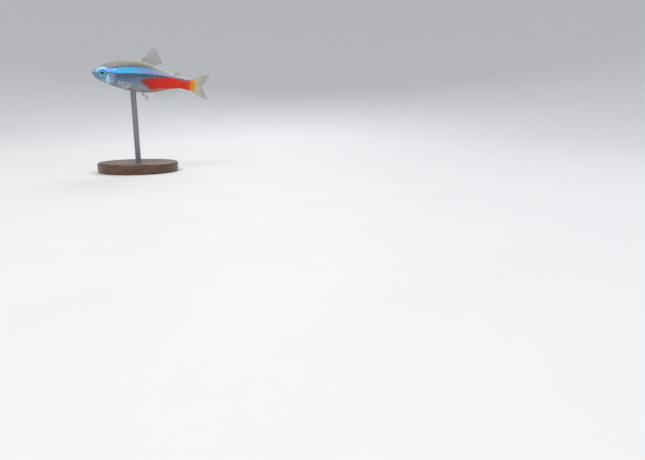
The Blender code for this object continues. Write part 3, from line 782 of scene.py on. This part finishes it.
def make_rays(name, fin):
    """The fin's rays: the first ones plain, the others forked twice, each a tapering bar.

    The upper lobe's last ray is the middle one of the tail fin, so the lower lobe has none there.
    """
    pitch = 1.0 / (fin.rays - 1)
    tubes, alongs, spread = [], [], []

    def add(u, low, high, first, second, level, count):
        v = np.linspace(low, high, count)
        path = []
        for at in v:
            fork = first * FIRST_SPREAD * forked(at, FIRST_FORK)
            fork += second * SECOND_SPREAD * forked(at, SECOND_FORK)
            path.append(fin_point(fin, u + fork * pitch, at))
        tubes.append(tube(path, [ray_radius(at, level) for at in v], fin.across))
        alongs.append([*np.repeat(v, RAY_SIDES), low, high])
        spread.append(np.full(count * RAY_SIDES + 2, u))

    shared = name.startswith("caudal_fin_lower")
    for i in range(fin.rays - shared):
        u = i * pitch
        if i < SIMPLE_RAYS:
            add(u, ROOT_SUNK, FIN_REACH, 0, 0, 0, PLAIN_STEPS)
            continue
        add(u, ROOT_SUNK, FIRST_FORK + FORK_OVERLAP, 0, 0, 0, BRANCH_STEPS[0])
        for first in (-1, 1):
            if 0.0 <= u + first * 0.3 * pitch <= 1.0:
                add(u, FIRST_FORK, SECOND_FORK + FORK_OVERLAP, first, 0, 1, BRANCH_STEPS[1])
                for second in (-1, 1):
                    add(u, SECOND_FORK, FIN_REACH - 0.01, first, second, 2, BRANCH_STEPS[2])
    points, faces = join_tubes(tubes)
    values = {"along": np.concatenate(alongs), "spread": np.concatenate(spread)}
    return make_mesh(name, to_stand(points), faces, {"share": points[:, 0] / LENGTH, **values})


def all_fins():
    """Every fin by its node's name."""
    fins = {name: median_fin(**sizes) for name, sizes in MEDIAN_FINS.items()}
    for word, sign in (("upper", 1.0), ("lower", -1.0)):
        fins[f"caudal_fin_{word}_lobe"] = caudal_lobe(sign, CAUDAL_RAYS[word])
    for kind, sizes in PAIRED_FINS.items():
        for word, side in (("left", -1), ("right", 1)):
            fins[f"{kind}_{word}"] = paired_fin(side, **sizes)
    return fins


# Eye: the globe's profile in millimetres, as radius from the eye's axis and way out along it
GLOBE_PROFILE = (
    (0.0, -0.60), (0.60, -0.56), (1.00, -0.40), (1.19, -0.15), (1.238, 0.05), (1.225, 0.20),
    (1.18, 0.31), (1.12, 0.385), (1.04, 0.43), (0.94, 0.452), (0.84, 0.455), (0.74, 0.462),
    (0.66, 0.485), (0.605, 0.512), (0.575, 0.505), (0.56, 0.45), (0.55, 0.30), (0.0, 0.28),
)
LENS_RADIUS = 0.00055
LENS_FOOT = 0.00032
LENS_RISE = 0.00030
LENS_SUNK = 0.00005
CORNEA_FOOT = 0.00017
CORNEA_RISE = 0.00054
CORNEA_RADIUS = 0.001235
CORNEA_ROUND = 2.6
CORNEA_THICK = 0.00003
CORNEA_INSIDE = 0.975
EYE_AROUND = 96
GLOBE_STEPS = 3


def revolve(name, side, profile):
    """A closed piece turned on the eye's axis, from a profile of (radius, way out) in metres."""
    centre = flank_point(EYE_SHARE, EYE_HEIGHT, side)
    centre = centre + np.array([0.0, side * (EYE_OUT - EYE_HALF_DEPTH), 0.0])
    points, faces = turned(profile, EYE_AROUND)
    local = np.stack([points[:, 0], side * points[:, 2], points[:, 1]], axis=1)
    values = {"eye_x": local[:, 0] / EYE_RADIUS, "eye_z": local[:, 2] / EYE_RADIUS}
    return make_mesh(name, to_stand(centre + local), faces, values)


def refined(profile, steps):
    """More points along a profile, on a smooth curve through its own."""
    profile = np.asarray(profile, float)
    where = np.concatenate([[0.0], np.cumsum(np.linalg.norm(np.diff(profile, axis=0), axis=1))])
    slope = np.gradient(profile, where, axis=0)
    made = []
    for k, span in enumerate(np.diff(where)):
        for u in np.arange(steps) / steps:
            made.append(hermite(u, profile[k], profile[k + 1], span * slope[k], span * slope[k + 1]))
    made = np.array([*made, profile[-1]])
    made[:, 0] = np.maximum(made[:, 0], 0.0)
    return made


def make_eye(word, side):
    """The globe with its iris, the dark lens in the pupil and the clear cornea over them."""
    globe = revolve(f"eyeball_{word}", side, refined(np.array(GLOBE_PROFILE) * MM, GLOBE_STEPS))
    lens = [(0.0, LENS_FOOT - LENS_SUNK)]
    for slant in np.linspace(math.pi / 2, 0.0, 15):
        lens.append((LENS_RADIUS * math.sin(slant), LENS_FOOT + LENS_RISE * math.cos(slant)))
    outer = []
    for r in np.sin(np.linspace(0.0, math.pi / 2, 22)):
        outer.append((CORNEA_RADIUS * r, CORNEA_FOOT + CORNEA_RISE * math.sqrt(1.0 - r**CORNEA_ROUND)))
    inner = [(CORNEA_INSIDE * r, out - CORNEA_THICK) for r, out in outer]
    cornea = revolve(f"eye_cornea_{word}", side, [*inner, *outer[::-1]])
    return globe, revolve(f"eye_lens_{word}", side, lens), cornea


def make_base():
    """The round base, with softly rounded edges and a countersunk socket for the rod."""
    low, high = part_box("stand_base")
    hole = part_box("stand_rod")[1].x + SOCKET_PLAY
    radius = high.x
    arc = np.linspace(0.0, math.pi / 2, 9)
    corner = [(BASE_ROUND * (1 - math.sin(a)), BASE_ROUND * (1 - math.cos(a))) for a in arc]
    profile = [(0.0, low.z)]
    profile += [(radius - wide, low.z + narrow) for wide, narrow in corner]
    profile += [(radius - narrow, high.z - wide) for wide, narrow in corner]
    profile += [(0.72 * radius, high.z), (hole + SOCKET_WIDER, high.z), (hole, high.z - SOCKET_BEVEL)]
    profile += [(hole, high.z - SOCKET_DEPTH), (0.0, high.z - SOCKET_DEPTH)]
    return make_mesh("base_turned", *turned(profile, BASE_AROUND))


def make_rod():
    """The rod, whose top is cut to the curve of the belly and touches it."""
    low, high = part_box("stand_rod")
    turn = full_turn(ROD_AROUND)
    edge = np.stack([high.x * np.cos(turn), high.x * np.sin(turn), np.zeros(ROD_AROUND)], axis=1)
    for _ in range(6):
        share, beside, height = (edge @ tilt + hold_point).T / LENGTH
        tall = (back(share) - belly(share)) / 2
        skin = belly(share) + tall * (1.0 - np.sqrt(1.0 - (beside / half_width(share)) ** 2))
        edge[:, 2] += (skin - height) * LENGTH
    edge[:, 2] += HOLD_HEIGHT + ROD_INTO_SKIN
    foot = edge * np.array([1.0, 1.0, 0.0]) + np.array([0.0, 0.0, low.z])
    rings = np.stack([between(foot, edge, u) for u in (0.0, 0.02, 0.5, 0.97, 1.0)])
    rod = make_mesh("rod_brushed", *capped(rings, foot.mean(axis=0), edge.mean(axis=0)))
    rod.data.set_sharp_from_angle(angle=math.radians(50))
    return rod


def linear(colour):
    """A display colour of 0 to 255 as the linear colour that shaders take."""
    channels = np.array(colour) / 255
    return np.where(channels <= 0.04045, channels / 12.92, ((channels + 0.055) / 1.055) ** 2.4)


class Value:
    """A node's output in a material. Sums of values add the nodes that work them out."""

    def __init__(self, nodes, socket):
        self.nodes = nodes
        self.socket = socket

    def through(self, operation, *others, clamp=False):
        return self.nodes.add("Math", (self, *others), operation=operation, use_clamp=clamp)

    __add__ = partialmethod(through, "ADD")
    __sub__ = partialmethod(through, "SUBTRACT")
    __mul__ = partialmethod(through, "MULTIPLY")
    __truediv__ = partialmethod(through, "DIVIDE")
    __pow__ = partialmethod(through, "POWER")
    __abs__ = partialmethod(through, "ABSOLUTE")
    larger = partialmethod(through, "MAXIMUM")
    sine = partialmethod(through, "SINE")
    fraction = partialmethod(through, "FRACT")
    root = partialmethod(through, "SQRT")

    def hypot(self, other):
        return (self * self + other * other).root()

    def step(self, low, high):
        """0 below low and 1 above high, or the other way round, with a smooth change between."""
        ends = (low, high, 0.0, 1.0) if low < high else (high, low, 1.0, 0.0)
        return self.nodes.add("MapRange", (self, *ends), interpolation_type="SMOOTHSTEP")

    def painted(self, *layers):
        """This colour, painted over with each (factor, colour) in turn, with factors from 0 to 1."""
        made = self
        for factor, colour in layers:
            made = self.nodes.mix(factor, made, colour)
        return made

    def curve(self, points):
        """A smooth curve through (value, result) points, with values from 0 to 1."""
        results = [result for _, result in points]
        low, high = min(results), max(results)
        made = self.nodes.add("FloatCurve", {"Value": self})
        mapping = made.socket.node.mapping
        line = mapping.curves[0].points
        while len(line) < len(points):
            line.new(0.5, 0.5)
        for point, (x, y) in zip(line, points):
            point.location = (x, (y - low) / (high - low))
        mapping.update()
        return made * (high - low) + low

    def ramp(self, stops):
        """The colour at this value, between colours given as (value, display colour)."""
        made = self.nodes.add("ValToRGB", (self,))
        elements = made.socket.node.color_ramp.elements
        while len(elements) < len(stops):
            elements.new(1.0)
        for element, (where, colour) in zip(elements, stops):
            element.position = where
            element.color = (*linear(colour), 1.0)
        return made


class Nodes:
    """Short calls for building one material's nodes."""

    def __init__(self, name, **constants):
        self.material = bpy.data.materials.new(name)
        self.material.use_nodes = True
        self.tree = self.material.node_tree
        self.shader = self.tree.nodes["Principled BSDF"]
        self.shade(**constants)

    def put(self, given, socket):
        """Links a value to a socket, or sets it to a number, a vector or a display colour."""
        if isinstance(given, Value):
            self.tree.links.new(given.socket, socket)
        elif socket.type == "RGBA":
            socket.default_value = (*linear(given), 1.0)
        else:
            socket.default_value = given

    def add(self, kind, given=(), output=0, **settings):
        """Adds a node whose inputs are given in order, or by name or number, and returns an output."""
        node = self.tree.nodes.new("ShaderNode" + kind)
        for key, setting in settings.items():
            setattr(node, key, setting)
        for key, value in given.items() if isinstance(given, dict) else enumerate(given):
            self.put(value, node.inputs[key])
        return Value(self, node.outputs[output])

    def shade(self, **inputs):
        """Gives the surface its inputs, with _ for a space in a name, and returns the material."""
        for name, given in inputs.items():
            self.put(given, self.shader.inputs[name.replace("_", " ")])
        return self.material

    def value(self, name):
        return self.add("Attribute", output="Fac", attribute_name=name)

    def place(self):
        return self.add("TexCoord", output="Object")

    def stretched(self, *scale):
        return self.add("Mapping", {"Vector": self.place(), "Scale": scale})

    def mix(self, factor, a, b):
        return self.add("Mix", {0: factor, 6: a, 7: b}, 2, data_type="RGBA")

    def mixed(self, factor, a, b):
        """A number that goes from a to b as the factor goes from 0 to 1."""
        return self.add("Mix", {0: factor, 2: a, 3: b}, data_type="FLOAT")

    def noise(self, scale, detail=2.0, roughness=0.5, place=None):
        given = {"Vector": place or self.place(), "Scale": scale, "Detail": detail, "Roughness": roughness}
        return self.add("TexNoise", given)

    def fan(self, x, y, hinge):
        """Coordinates that run out from a hinge, so that a noise over them fans out from it."""
        x, y = x - hinge[0], y - hinge[1]
        radius = x.hypot(y)
        return self.add("CombineXYZ", (x / radius, y / radius, radius * 0.35))

    def dots(self, scale, size):
        """Small round specks, one or none in each cell."""
        cells = self.add("TexVoronoi", {"Vector": self.place(), "Scale": scale}, "Distance")
        return cells.step(size, size * 0.6)

    def bump(self, height, distance, strength=1.0, after=None):
        given = {"Strength": strength, "Distance": distance, "Height": height}
        if after is not None:
            given["Normal"] = after
        return self.add("Bump", given)


# Markings: (share, height) or (share, half-width) of the stripe and the red band's edges
STRIPE_MIDDLE = (
    (0.0, 0.016), (0.05, 0.034), (0.105, 0.047), (0.15, 0.048), (0.20, 0.050), (0.27, 0.060),
    (0.42, 0.081), (0.57, 0.090), (0.67, 0.088), (0.78, 0.079), (0.84, 0.070), (0.90, 0.056),
    (1.0, 0.050),
)
STRIPE_HALF = (
    (0.0, 0.010), (0.04, 0.021), (0.10, 0.025), (0.15, 0.019), (0.20, 0.019), (0.29, 0.027),
    (0.45, 0.028), (0.60, 0.024), (0.75, 0.018), (0.83, 0.012), (0.88, 0.0),
)
RED_TOP = (
    (0.0, -0.30), (0.385, -0.10), (0.435, -0.020), (0.52, 0.020), (0.60, 0.040), (0.68, 0.055),
    (0.78, 0.066), (0.88, 0.054), (1.0, 0.060),
)
RED_FOOT = (
    (0.0, 0.10), (0.385, 0.06), (0.44, 0.0), (0.482, -0.035), (0.535, -0.075), (0.585, -0.125),
    (0.64, -0.25), (1.0, -0.30),
)
# Colours up the back; the pale stops at 0.94 and 1.0 are partly painted light falling on the top of the
# back
BACK_COLOURS = (
    (0.60, (114, 116, 126)), (0.78, (112, 114, 120)), (0.87, (134, 134, 132)),
    (0.94, (186, 184, 172)), (1.0, (182, 180, 154)),
)
LOWER_DEPTH = 0.22
LOWER_COLOURS = (
    (0.10, (46, 78, 112)), (0.26, (54, 80, 106)), (0.40, (90, 112, 136)),
    (0.60, (116, 132, 151)), (0.82, (146, 150, 156)), (1.0, (166, 166, 163)),
)
# The stripe's colour along the body; the paler stops at 0.055 and 0.10, over the eye, are partly a painted
# highlight
STRIPE_COLOURS = (
    (0.0, (112, 132, 172)), (0.025, (126, 156, 200)), (0.055, (150, 206, 248)),
    (0.10, (140, 210, 250)),
    (0.155, (124, 162, 240)), (0.19, (96, 168, 242)), (0.235, (66, 176, 234)),
    (0.38, (74, 182, 232)), (0.47, (106, 162, 214)), (0.58, (132, 153, 192)),
    (0.70, (162, 160, 178)), (0.82, (170, 167, 178)),
)
RED_COLOURS = (
    (0.45, (132, 44, 34)), (0.52, (174, 34, 16)), (0.62, (212, 36, 8)),
    (0.80, (226, 40, 8)), (0.95, (224, 46, 10)), (1.0, (230, 80, 14)),
)
ORANGE = (244, 146, 30)
YELLOW = (218, 194, 64)
RED_METAL = 0.45
# How strongly the neon stripe shines: emission painted onto it, as the stripe is no lamp
STRIPE_PAINTED_GLOW = 0.12
TAIL_RAY_WAVE = 967.0
OPERCLE_HINGE = (0.178, 0.030)
SPOT = (0.155, -0.042)
SPOT_HALF = (0.019, 0.044)

# Walnut: the colours across one ring of its grain
WOOD_COLOURS = ((0.0, (74, 46, 29)), (0.5, (104, 68, 43)), (1.0, (62, 38, 24)))


def markings(n):
    """The fish's colours by place and how far each mark covers it, with light painted onto the stripe."""
    share, height, rise = n.value("share"), n.value("height"), n.value("rise")
    at = height + n.noise(900.0, 3.0) * 0.010 - 0.005
    below = share.curve(STRIPE_MIDDLE) - at
    stripe = (share.curve(STRIPE_HALF) - abs(below)).step(-0.009, 0.007)
    above = below.step(0.012, -0.012)
    under_top = (share.curve(RED_TOP) - at).step(-0.006, 0.030)
    over_foot = (at - share.curve(RED_FOOT)).step(-0.022, 0.030)
    red = under_top * over_foot
    patch = n.noise(1500.0, 3.0).step(0.35, 0.70)
    lower = (below / LOWER_DEPTH).ramp(LOWER_COLOURS).painted((patch * 0.12, (176, 190, 210)))
    upper = rise.ramp(BACK_COLOURS).painted(
        (share.step(0.32, 0.16) * 0.36, (96, 104, 104)),
        (n.dots(5200.0, 0.34) * 0.55, (62, 58, 50)),
    )
    keel = ((share.step(0.80, 0.66) * 0.10 + 0.06 - rise) / 0.07).step(0.0, 1.0)
    # Painted highlights: fine pale specks of sparkle over the stripe
    painted_glint = n.noise(15000.0, 2.0).step(0.50, 0.72)
    neon = share.ramp(STRIPE_COLOURS).painted((painted_glint * 0.12, (214, 240, 255)))
    colour = lower.painted(
        (above, upper),
        (red, share.ramp(RED_COLOURS)),
        (keel * share.step(0.20, 0.27) * 0.65, (172, 164, 158)),
        (share.step(0.966, 1.004), tail_root(n, share)),
        (stripe, neon),
    )
    silver = below.step(0.06, 0.16)
    metal = n.mixed(red, (stripe * 0.40).larger(silver * 0.40), RED_METAL)
    # The stripe's own colour as emission: painted light, as if the stripe shone
    n.shade(Emission_Color=n.mix(stripe, (0, 0, 0), neon), Emission_Strength=STRIPE_PAINTED_GLOW)
    return SimpleNamespace(
        share=share, height=height, below=below, above=above, stripe=stripe, red=red,
        colour=colour, metal=metal,
    )


def tail_root(n, share):
    return n.mix(share.step(1.004, 1.05), ORANGE, YELLOW)


def skin_material():
    """The smooth skin: the head with its silvery gill cover, specks and painted shade in its grooves, and
    the tail's end.
    """
    n = Nodes("skin_iridescent", Coat_Weight=0.18, Coat_Roughness=0.15, Specular_IOR_Level=0.4)
    marks = markings(n)
    share, height = marks.share, marks.height
    head = share.step(0.235, 0.20)
    under = marks.below.step(0.022, 0.034)
    cheek = head * under
    mottled = n.mix(n.noise(1700.0, 4.0, 0.6).step(0.35, 0.68), (76, 108, 140), (138, 168, 190))
    plate = share.step(0.172, 0.186) * cheek
    fans = n.noise(7.0, 3.0, 0.6, n.fan(share, height, OPERCLE_HINGE)).step(0.45, 0.65)
    chin = cheek * height.step(-0.030, -0.075)
    lips = share.step(0.055, 0.012) * height.step(0.026, 0.010)
    off_x, off_z = (share - SPOT[0]) / SPOT_HALF[0], (height - SPOT[1]) / SPOT_HALF[1]
    spot = (off_x * off_x + off_z * off_z).step(1.9, 0.0)
    spot = spot.through("MULTIPLY", n.noise(2600.0, 3.0) * 0.9 + 0.45, clamp=True)
    crown = share.step(0.30, 0.10) * marks.above
    # Painted shade in grooves and recesses, darker where the relief sinks deeper and lighter on the stripe
    painted_crease_shade = (marks.stripe * -0.75 + 1.0) * n.value("deep").step(-0.25, -1.5)
    ray_roots = (height * TAIL_RAY_WAVE).sine().step(-0.3, 0.9) * share.step(0.995, 1.012)
    colour = marks.colour.painted(
        (cheek * 0.85, mottled),
        (fans * plate * 0.35, (158, 184, 208)),
        (chin * 0.7, (162, 186, 194)),
        (lips * 0.4, (110, 134, 148)),
        (spot * under, (178, 216, 252)),
        (n.dots(7000.0, 0.36) * crown * 0.7, (50, 56, 60)),
        (n.dots(6200.0, 0.24) * head * 0.30, (44, 58, 78)),
        (painted_crease_shade, (34, 42, 54)),
        (ray_roots * 0.42, (150, 122, 62)),
    )
    fine = n.bump(n.noise(11000.0, 3.0), 0.000010, after=n.bump(ray_roots, -0.000022))
    return n.shade(
        Base_Color=colour,
        Metallic=(marks.metal * 0.5).larger(plate * 0.35).larger(spot * 0.35),
        Roughness=n.noise(2600.0, 3.0) * 0.24 + 0.26,
        Normal=n.bump(n.noise(3000.0, 2.0), 0.000022, 0.6, fine),
    )


def scale_material():
    """The scales: the same markings, with darker margins, fine growth rings and a tone for each."""
    n = Nodes("scales_iridescent", Coat_Weight=0.18, Coat_Roughness=0.12, Specular_IOR_Level=0.4)
    marks = markings(n)
    tone, edge = n.value("tone"), n.value("edge")
    light = tone * n.mixed(marks.red, 0.14, 0.06) + 0.94
    tinted = n.add("HueSaturation", {"Color": marks.colour, "Value": light, "Hue": tone * 0.004 + 0.498})
    margin = (marks.above * 0.24 + 0.16) * (marks.stripe * -0.5 + 1.0) * edge.step(0.80, 0.99)
    grain = n.bump(n.noise(6000.0, 2.0), 0.000008)
    return n.shade(
        Base_Color=tinted.painted((margin, (30, 34, 40))),
        Metallic=marks.metal,
        Roughness=tone * 0.06 + 0.32,
        Normal=n.bump((edge * 70.0).sine(), 0.0000016, 0.8, grain),
    )


def fin_material(name, alpha, colour, dark, barred):
    """A clear fin's film, or its rays with their cross bars, with orange at the tail's root."""
    n = Nodes(name, Alpha=alpha, Roughness=0.25, Coat_Weight=0.2, Coat_Roughness=0.1)
    share, along = n.value("share"), n.value("along")
    streak = n.noise(3800.0, 3.0)
    made = n.mix(streak.step(0.40, 0.75) * (1.0 if barred else 0.4), colour, dark)
    made = made.painted((n.dots(7600.0, 0.22) * (0.5 if barred else 0.3), (60, 62, 58)))
    if barred:
        joints = (along * 170.0).sine().step(0.45, 1.0) * along.step(0.22, 0.34)
        made = made.painted((joints * 0.35, dark))
    near = share.step(1.16, 1.04) * share.step(0.985, 1.0)
    made = made.painted(
        (n.value("spread").step(0.07, 0.0) * 0.5, (206, 218, 232)),
        (near * 0.95, tail_root(n, share)),
    )
    return n.shade(Base_Color=made, Normal=n.bump(streak, 0.000006))


def adipose_material():
    """The adipose fin: clear flesh, faintly clouded and with a few dark specks along its edge."""
    n = Nodes("adipose_fleshy", Roughness=0.35, Alpha=0.62, Coat_Weight=0.3)
    cloud = n.noise(3000.0, 3.0)
    specks = n.dots(9000.0, 0.34) * n.value("along").step(0.55, 0.9)
    colour = n.mix(cloud.step(0.35, 0.75), (184, 186, 174), (160, 162, 150))
    return n.shade(Base_Color=colour.painted((specks * 0.6, (70, 72, 66))), Normal=n.bump(cloud, 0.00001))


def eye_material():
    """The iris: blue above and teal below, finely grained, with a dark limb and a pale inner ring."""
    n = Nodes("eye_iris", Coat_Weight=0.3, Coat_Roughness=0.06)
    x, z = n.value("eye_x"), n.value("eye_z")
    radius = x.hypot(z)
    fibre = n.noise(11.0, 4.0, 0.65, n.fan(x, z, (0.0, 0.0))).step(0.30, 0.72)
    low = n.mix(fibre, (66, 158, 178), (116, 200, 212))
    high = n.mix(fibre, (30, 116, 190), (66, 162, 226))
    grains = n.noise(12000.0, 3.0, 0.6).step(0.42, 0.70)
    blotch = n.noise(2400.0, 3.0).step(0.50, 0.72)
    limb = radius.step(0.87, 0.92) * radius.step(0.975, 0.95)
    ring = radius.step(0.455, 0.475) * radius.step(0.555, 0.50)
    colour = low.painted(
        ((z - x * 0.25).step(-0.10, 0.50), high),
        (grains * 0.30, (176, 226, 236)),
        (blotch * 0.40, (22, 66, 104)),
        (radius.step(0.90, 0.96), (120, 160, 192)),
        (limb * 0.60, (24, 56, 88)),
        (ring * 0.30, (190, 226, 220)),
        (radius.step(0.462, 0.452), (8, 48, 84)),
    )
    return n.shade(
        Base_Color=colour,
        Metallic=radius.step(0.45, 0.50) * 0.55,
        Roughness=grains * 0.15 + 0.25,
        Normal=n.bump(fibre + grains, 0.000008),
    )


def lens_material():
    """The lens: nearly black, with a dim teal reflection painted a little off its middle."""
    n = Nodes("eye_pupil", Roughness=0.08, Specular_IOR_Level=0.15)
    away = (n.value("eye_x") - 0.12).hypot(n.value("eye_z") + 0.20)
    # Painted reflection: a teal patch a little below and behind the pupil's middle
    painted_reflection = away.step(0.46, 0.0) * (n.noise(2500.0) * 0.4 + 0.6)
    return n.shade(Base_Color=n.mix(painted_reflection, (3, 44, 84), (84, 172, 188)))


def cornea_material():
    """A clear film that only mirrors, more at a slant and the same from both of its sides."""
    n = Nodes("eye_cornea_clear")
    slant = n.add("LayerWeight", output="Facing") ** 5.0
    gloss = n.add("BsdfGlossy", {"Roughness": 0.03})
    film = n.add("MixShader", (slant * 0.35 + 0.010, n.add("BsdfTransparent"), gloss))
    n.put(film, n.tree.nodes["Material Output"].inputs["Surface"])
    n.tree.nodes.remove(n.shader)
    return n.material


def wood_material():
    """Dark oiled walnut: long grain along X, with rings and pores."""
    n = Nodes("walnut_oiled", Coat_Weight=0.25, Coat_Roughness=0.25)
    grain = n.stretched(0.10, 1.0, 0.55)
    wave = (n.noise(420.0, 4.0, 0.55, grain) * 9.0).fraction()
    pores = n.noise(9000.0, 2.0, 0.6, grain)
    colour = wave.ramp(WOOD_COLOURS).painted((pores.step(0.56, 0.68) * 0.6, (34, 20, 12)))
    return n.shade(Base_Color=colour, Roughness=pores * 0.25 + 0.30, Normal=n.bump(pores, 0.00002, 0.6))


def steel_material():
    """Steel brushed round the rod."""
    n = Nodes("steel_brushed", Metallic=1.0)
    streak = n.noise(3000.0, 3.0, 0.6, n.stretched(0.15, 0.15, 6.0))
    colour = n.mix(streak, (112, 114, 118), (160, 161, 164))
    return n.shade(Base_Color=colour, Roughness=streak * 0.22 + 0.36, Normal=n.bump(streak, 0.000006))


def floor_material():
    n = Nodes("floor_pale", Roughness=0.7)
    return n.shade(Base_Color=n.mix(n.noise(60.0, 3.0), (226, 227, 228), (232, 233, 233)))


def dress(piece, material, slot, *nodes):
    """Gives a piece its material and its body, and hides the solids that it stands for. The slot is not
    used.
    """
    piece.data.materials.clear()
    piece.data.materials.append(material)
    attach(piece, "root")
    if nodes:
        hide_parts(*nodes)


def make_stage():
    """A round pale floor that curves up into a plain backdrop on every side."""
    profile = [(0.0, 0.0), (0.02, 0.0), (STAGE_FLAT, 0.0)]
    for k in range(1, 25):
        slant = math.pi / 2 * k / 24
        profile.append((STAGE_FLAT + STAGE_CURVE * math.sin(slant), STAGE_CURVE * (1 - math.cos(slant))))
    profile += [(0.0, STAGE_CURVE)]
    points, faces = turned(profile, 96)
    inside = [face for face in faces if len(points) - 1 not in face]
    floor = make_mesh("floor", points[:-1], inside, closed=False)
    floor.data.materials.append(floor_material())


def add_light(name, place, target, size, power, colour):
    light = bpy.data.lights.new(name, "AREA")
    light.shape = "DISK"
    light.size = size
    light.energy = power
    light.color = colour
    obj = bpy.data.objects.new(name, light)
    obj.location = place
    obj.visible_camera = False
    obj.rotation_euler = (Vector(target) - Vector(place)).to_track_quat("-Z", "Y").to_euler()
    bpy.context.scene.collection.objects.link(obj)


def make_lights():
    """Soft light from above on the camera's side, a weak fill and a rim from behind."""
    fish = (0.002, 0.0, 0.028)
    add_light("key", (-0.16, -0.24, 0.34), fish, 0.26, 0.95, (1.0, 0.985, 0.96))
    add_light("fill", (0.24, -0.22, 0.19), fish, 0.24, 0.22, (0.94, 0.97, 1.0))
    add_light("rim", (0.10, 0.26, 0.26), fish, 0.20, 0.45, (1.0, 1.0, 1.0))
    world = bpy.data.worlds.new("studio")
    world.use_nodes = True
    shade = world.node_tree.nodes["Background"]
    shade.inputs["Color"].default_value = (0.93, 0.95, 1.0, 1.0)
    shade.inputs["Strength"].default_value = 0.55
    bpy.context.scene.world = world


def make_camera():
    camera = bpy.data.cameras.new("camera")
    camera.sensor_width = SENSOR
    camera.lens = FOCAL_PIXELS / PHOTO_WIDTH * SENSOR
    camera.clip_start = 0.002
    camera.clip_end = 10.0
    obj = bpy.data.objects.new("camera", camera)
    obj.location = CAMERA_PLACE
    obj.rotation_euler = (math.pi / 2 - CAMERA_PITCH, 0.0, -CAMERA_YAW)
    bpy.context.scene.collection.objects.link(obj)
    bpy.context.scene.camera = obj


FLESH = ("head", "gill_cover_left", "gill_cover_right", "trunk", "tail")
CLEAR_FINS = ("pectoral_fin", "pelvic_fin", "anal_fin")
FIN_LOOKS = (
    ("smoky", 0.21, 0.62, (148, 152, 144), (92, 96, 90)),
    ("clear", 0.12, 0.36, (198, 208, 210), (132, 144, 146)),
)


def make_fins():
    """Each fin's film and rays, smoky on the back and the tail and clearer below."""
    looks = []
    for word, film, ray, colour, dark in FIN_LOOKS:
        films = fin_material("fin_film_" + word, film, colour, dark, False)
        looks.append((films, fin_material("fin_rays_" + word, ray, colour, dark, True)))
    fleshy = adipose_material()
    for name, fin in all_fins().items():
        film, ray = looks[name.startswith(CLEAR_FINS)]
        if fin.rays:
            dress(make_membrane(name + "_film", fin), film, "fin_membrane", name)
            dress(make_rays(name + "_rays", fin), ray, "fin_membrane")
        else:
            piece = make_membrane(name + "_lobe", fin, thick=ADIPOSE_HALF, fleshy=True)
            dress(piece, fleshy, "fin_membrane", name)


def make_fish():
    dress(make_skin(), skin_material(), "fish_skin", *FLESH)
    scales = scale_material()
    for coat in make_scales():
        dress(coat, scales, "fish_skin")
    make_fins()
    iris, pupil, cornea = eye_material(), lens_material(), cornea_material()
    for word, side in (("left", -1), ("right", 1)):
        globe, lens, clear = make_eye(word, side)
        dress(globe, iris, "eye", "eye_" + word)
        dress(lens, pupil, "eye")
        dress(clear, cornea, "eye")


def make_stand():
    dress(make_base(), wood_material(), "base_wood", "stand_base")
    dress(make_rod(), steel_material(), "rod_steel", "stand_rod")


make_fish()
make_stand()
make_stage()
make_lights()
make_camera()
bpy.context.scene.view_settings.view_transform = "Standard"
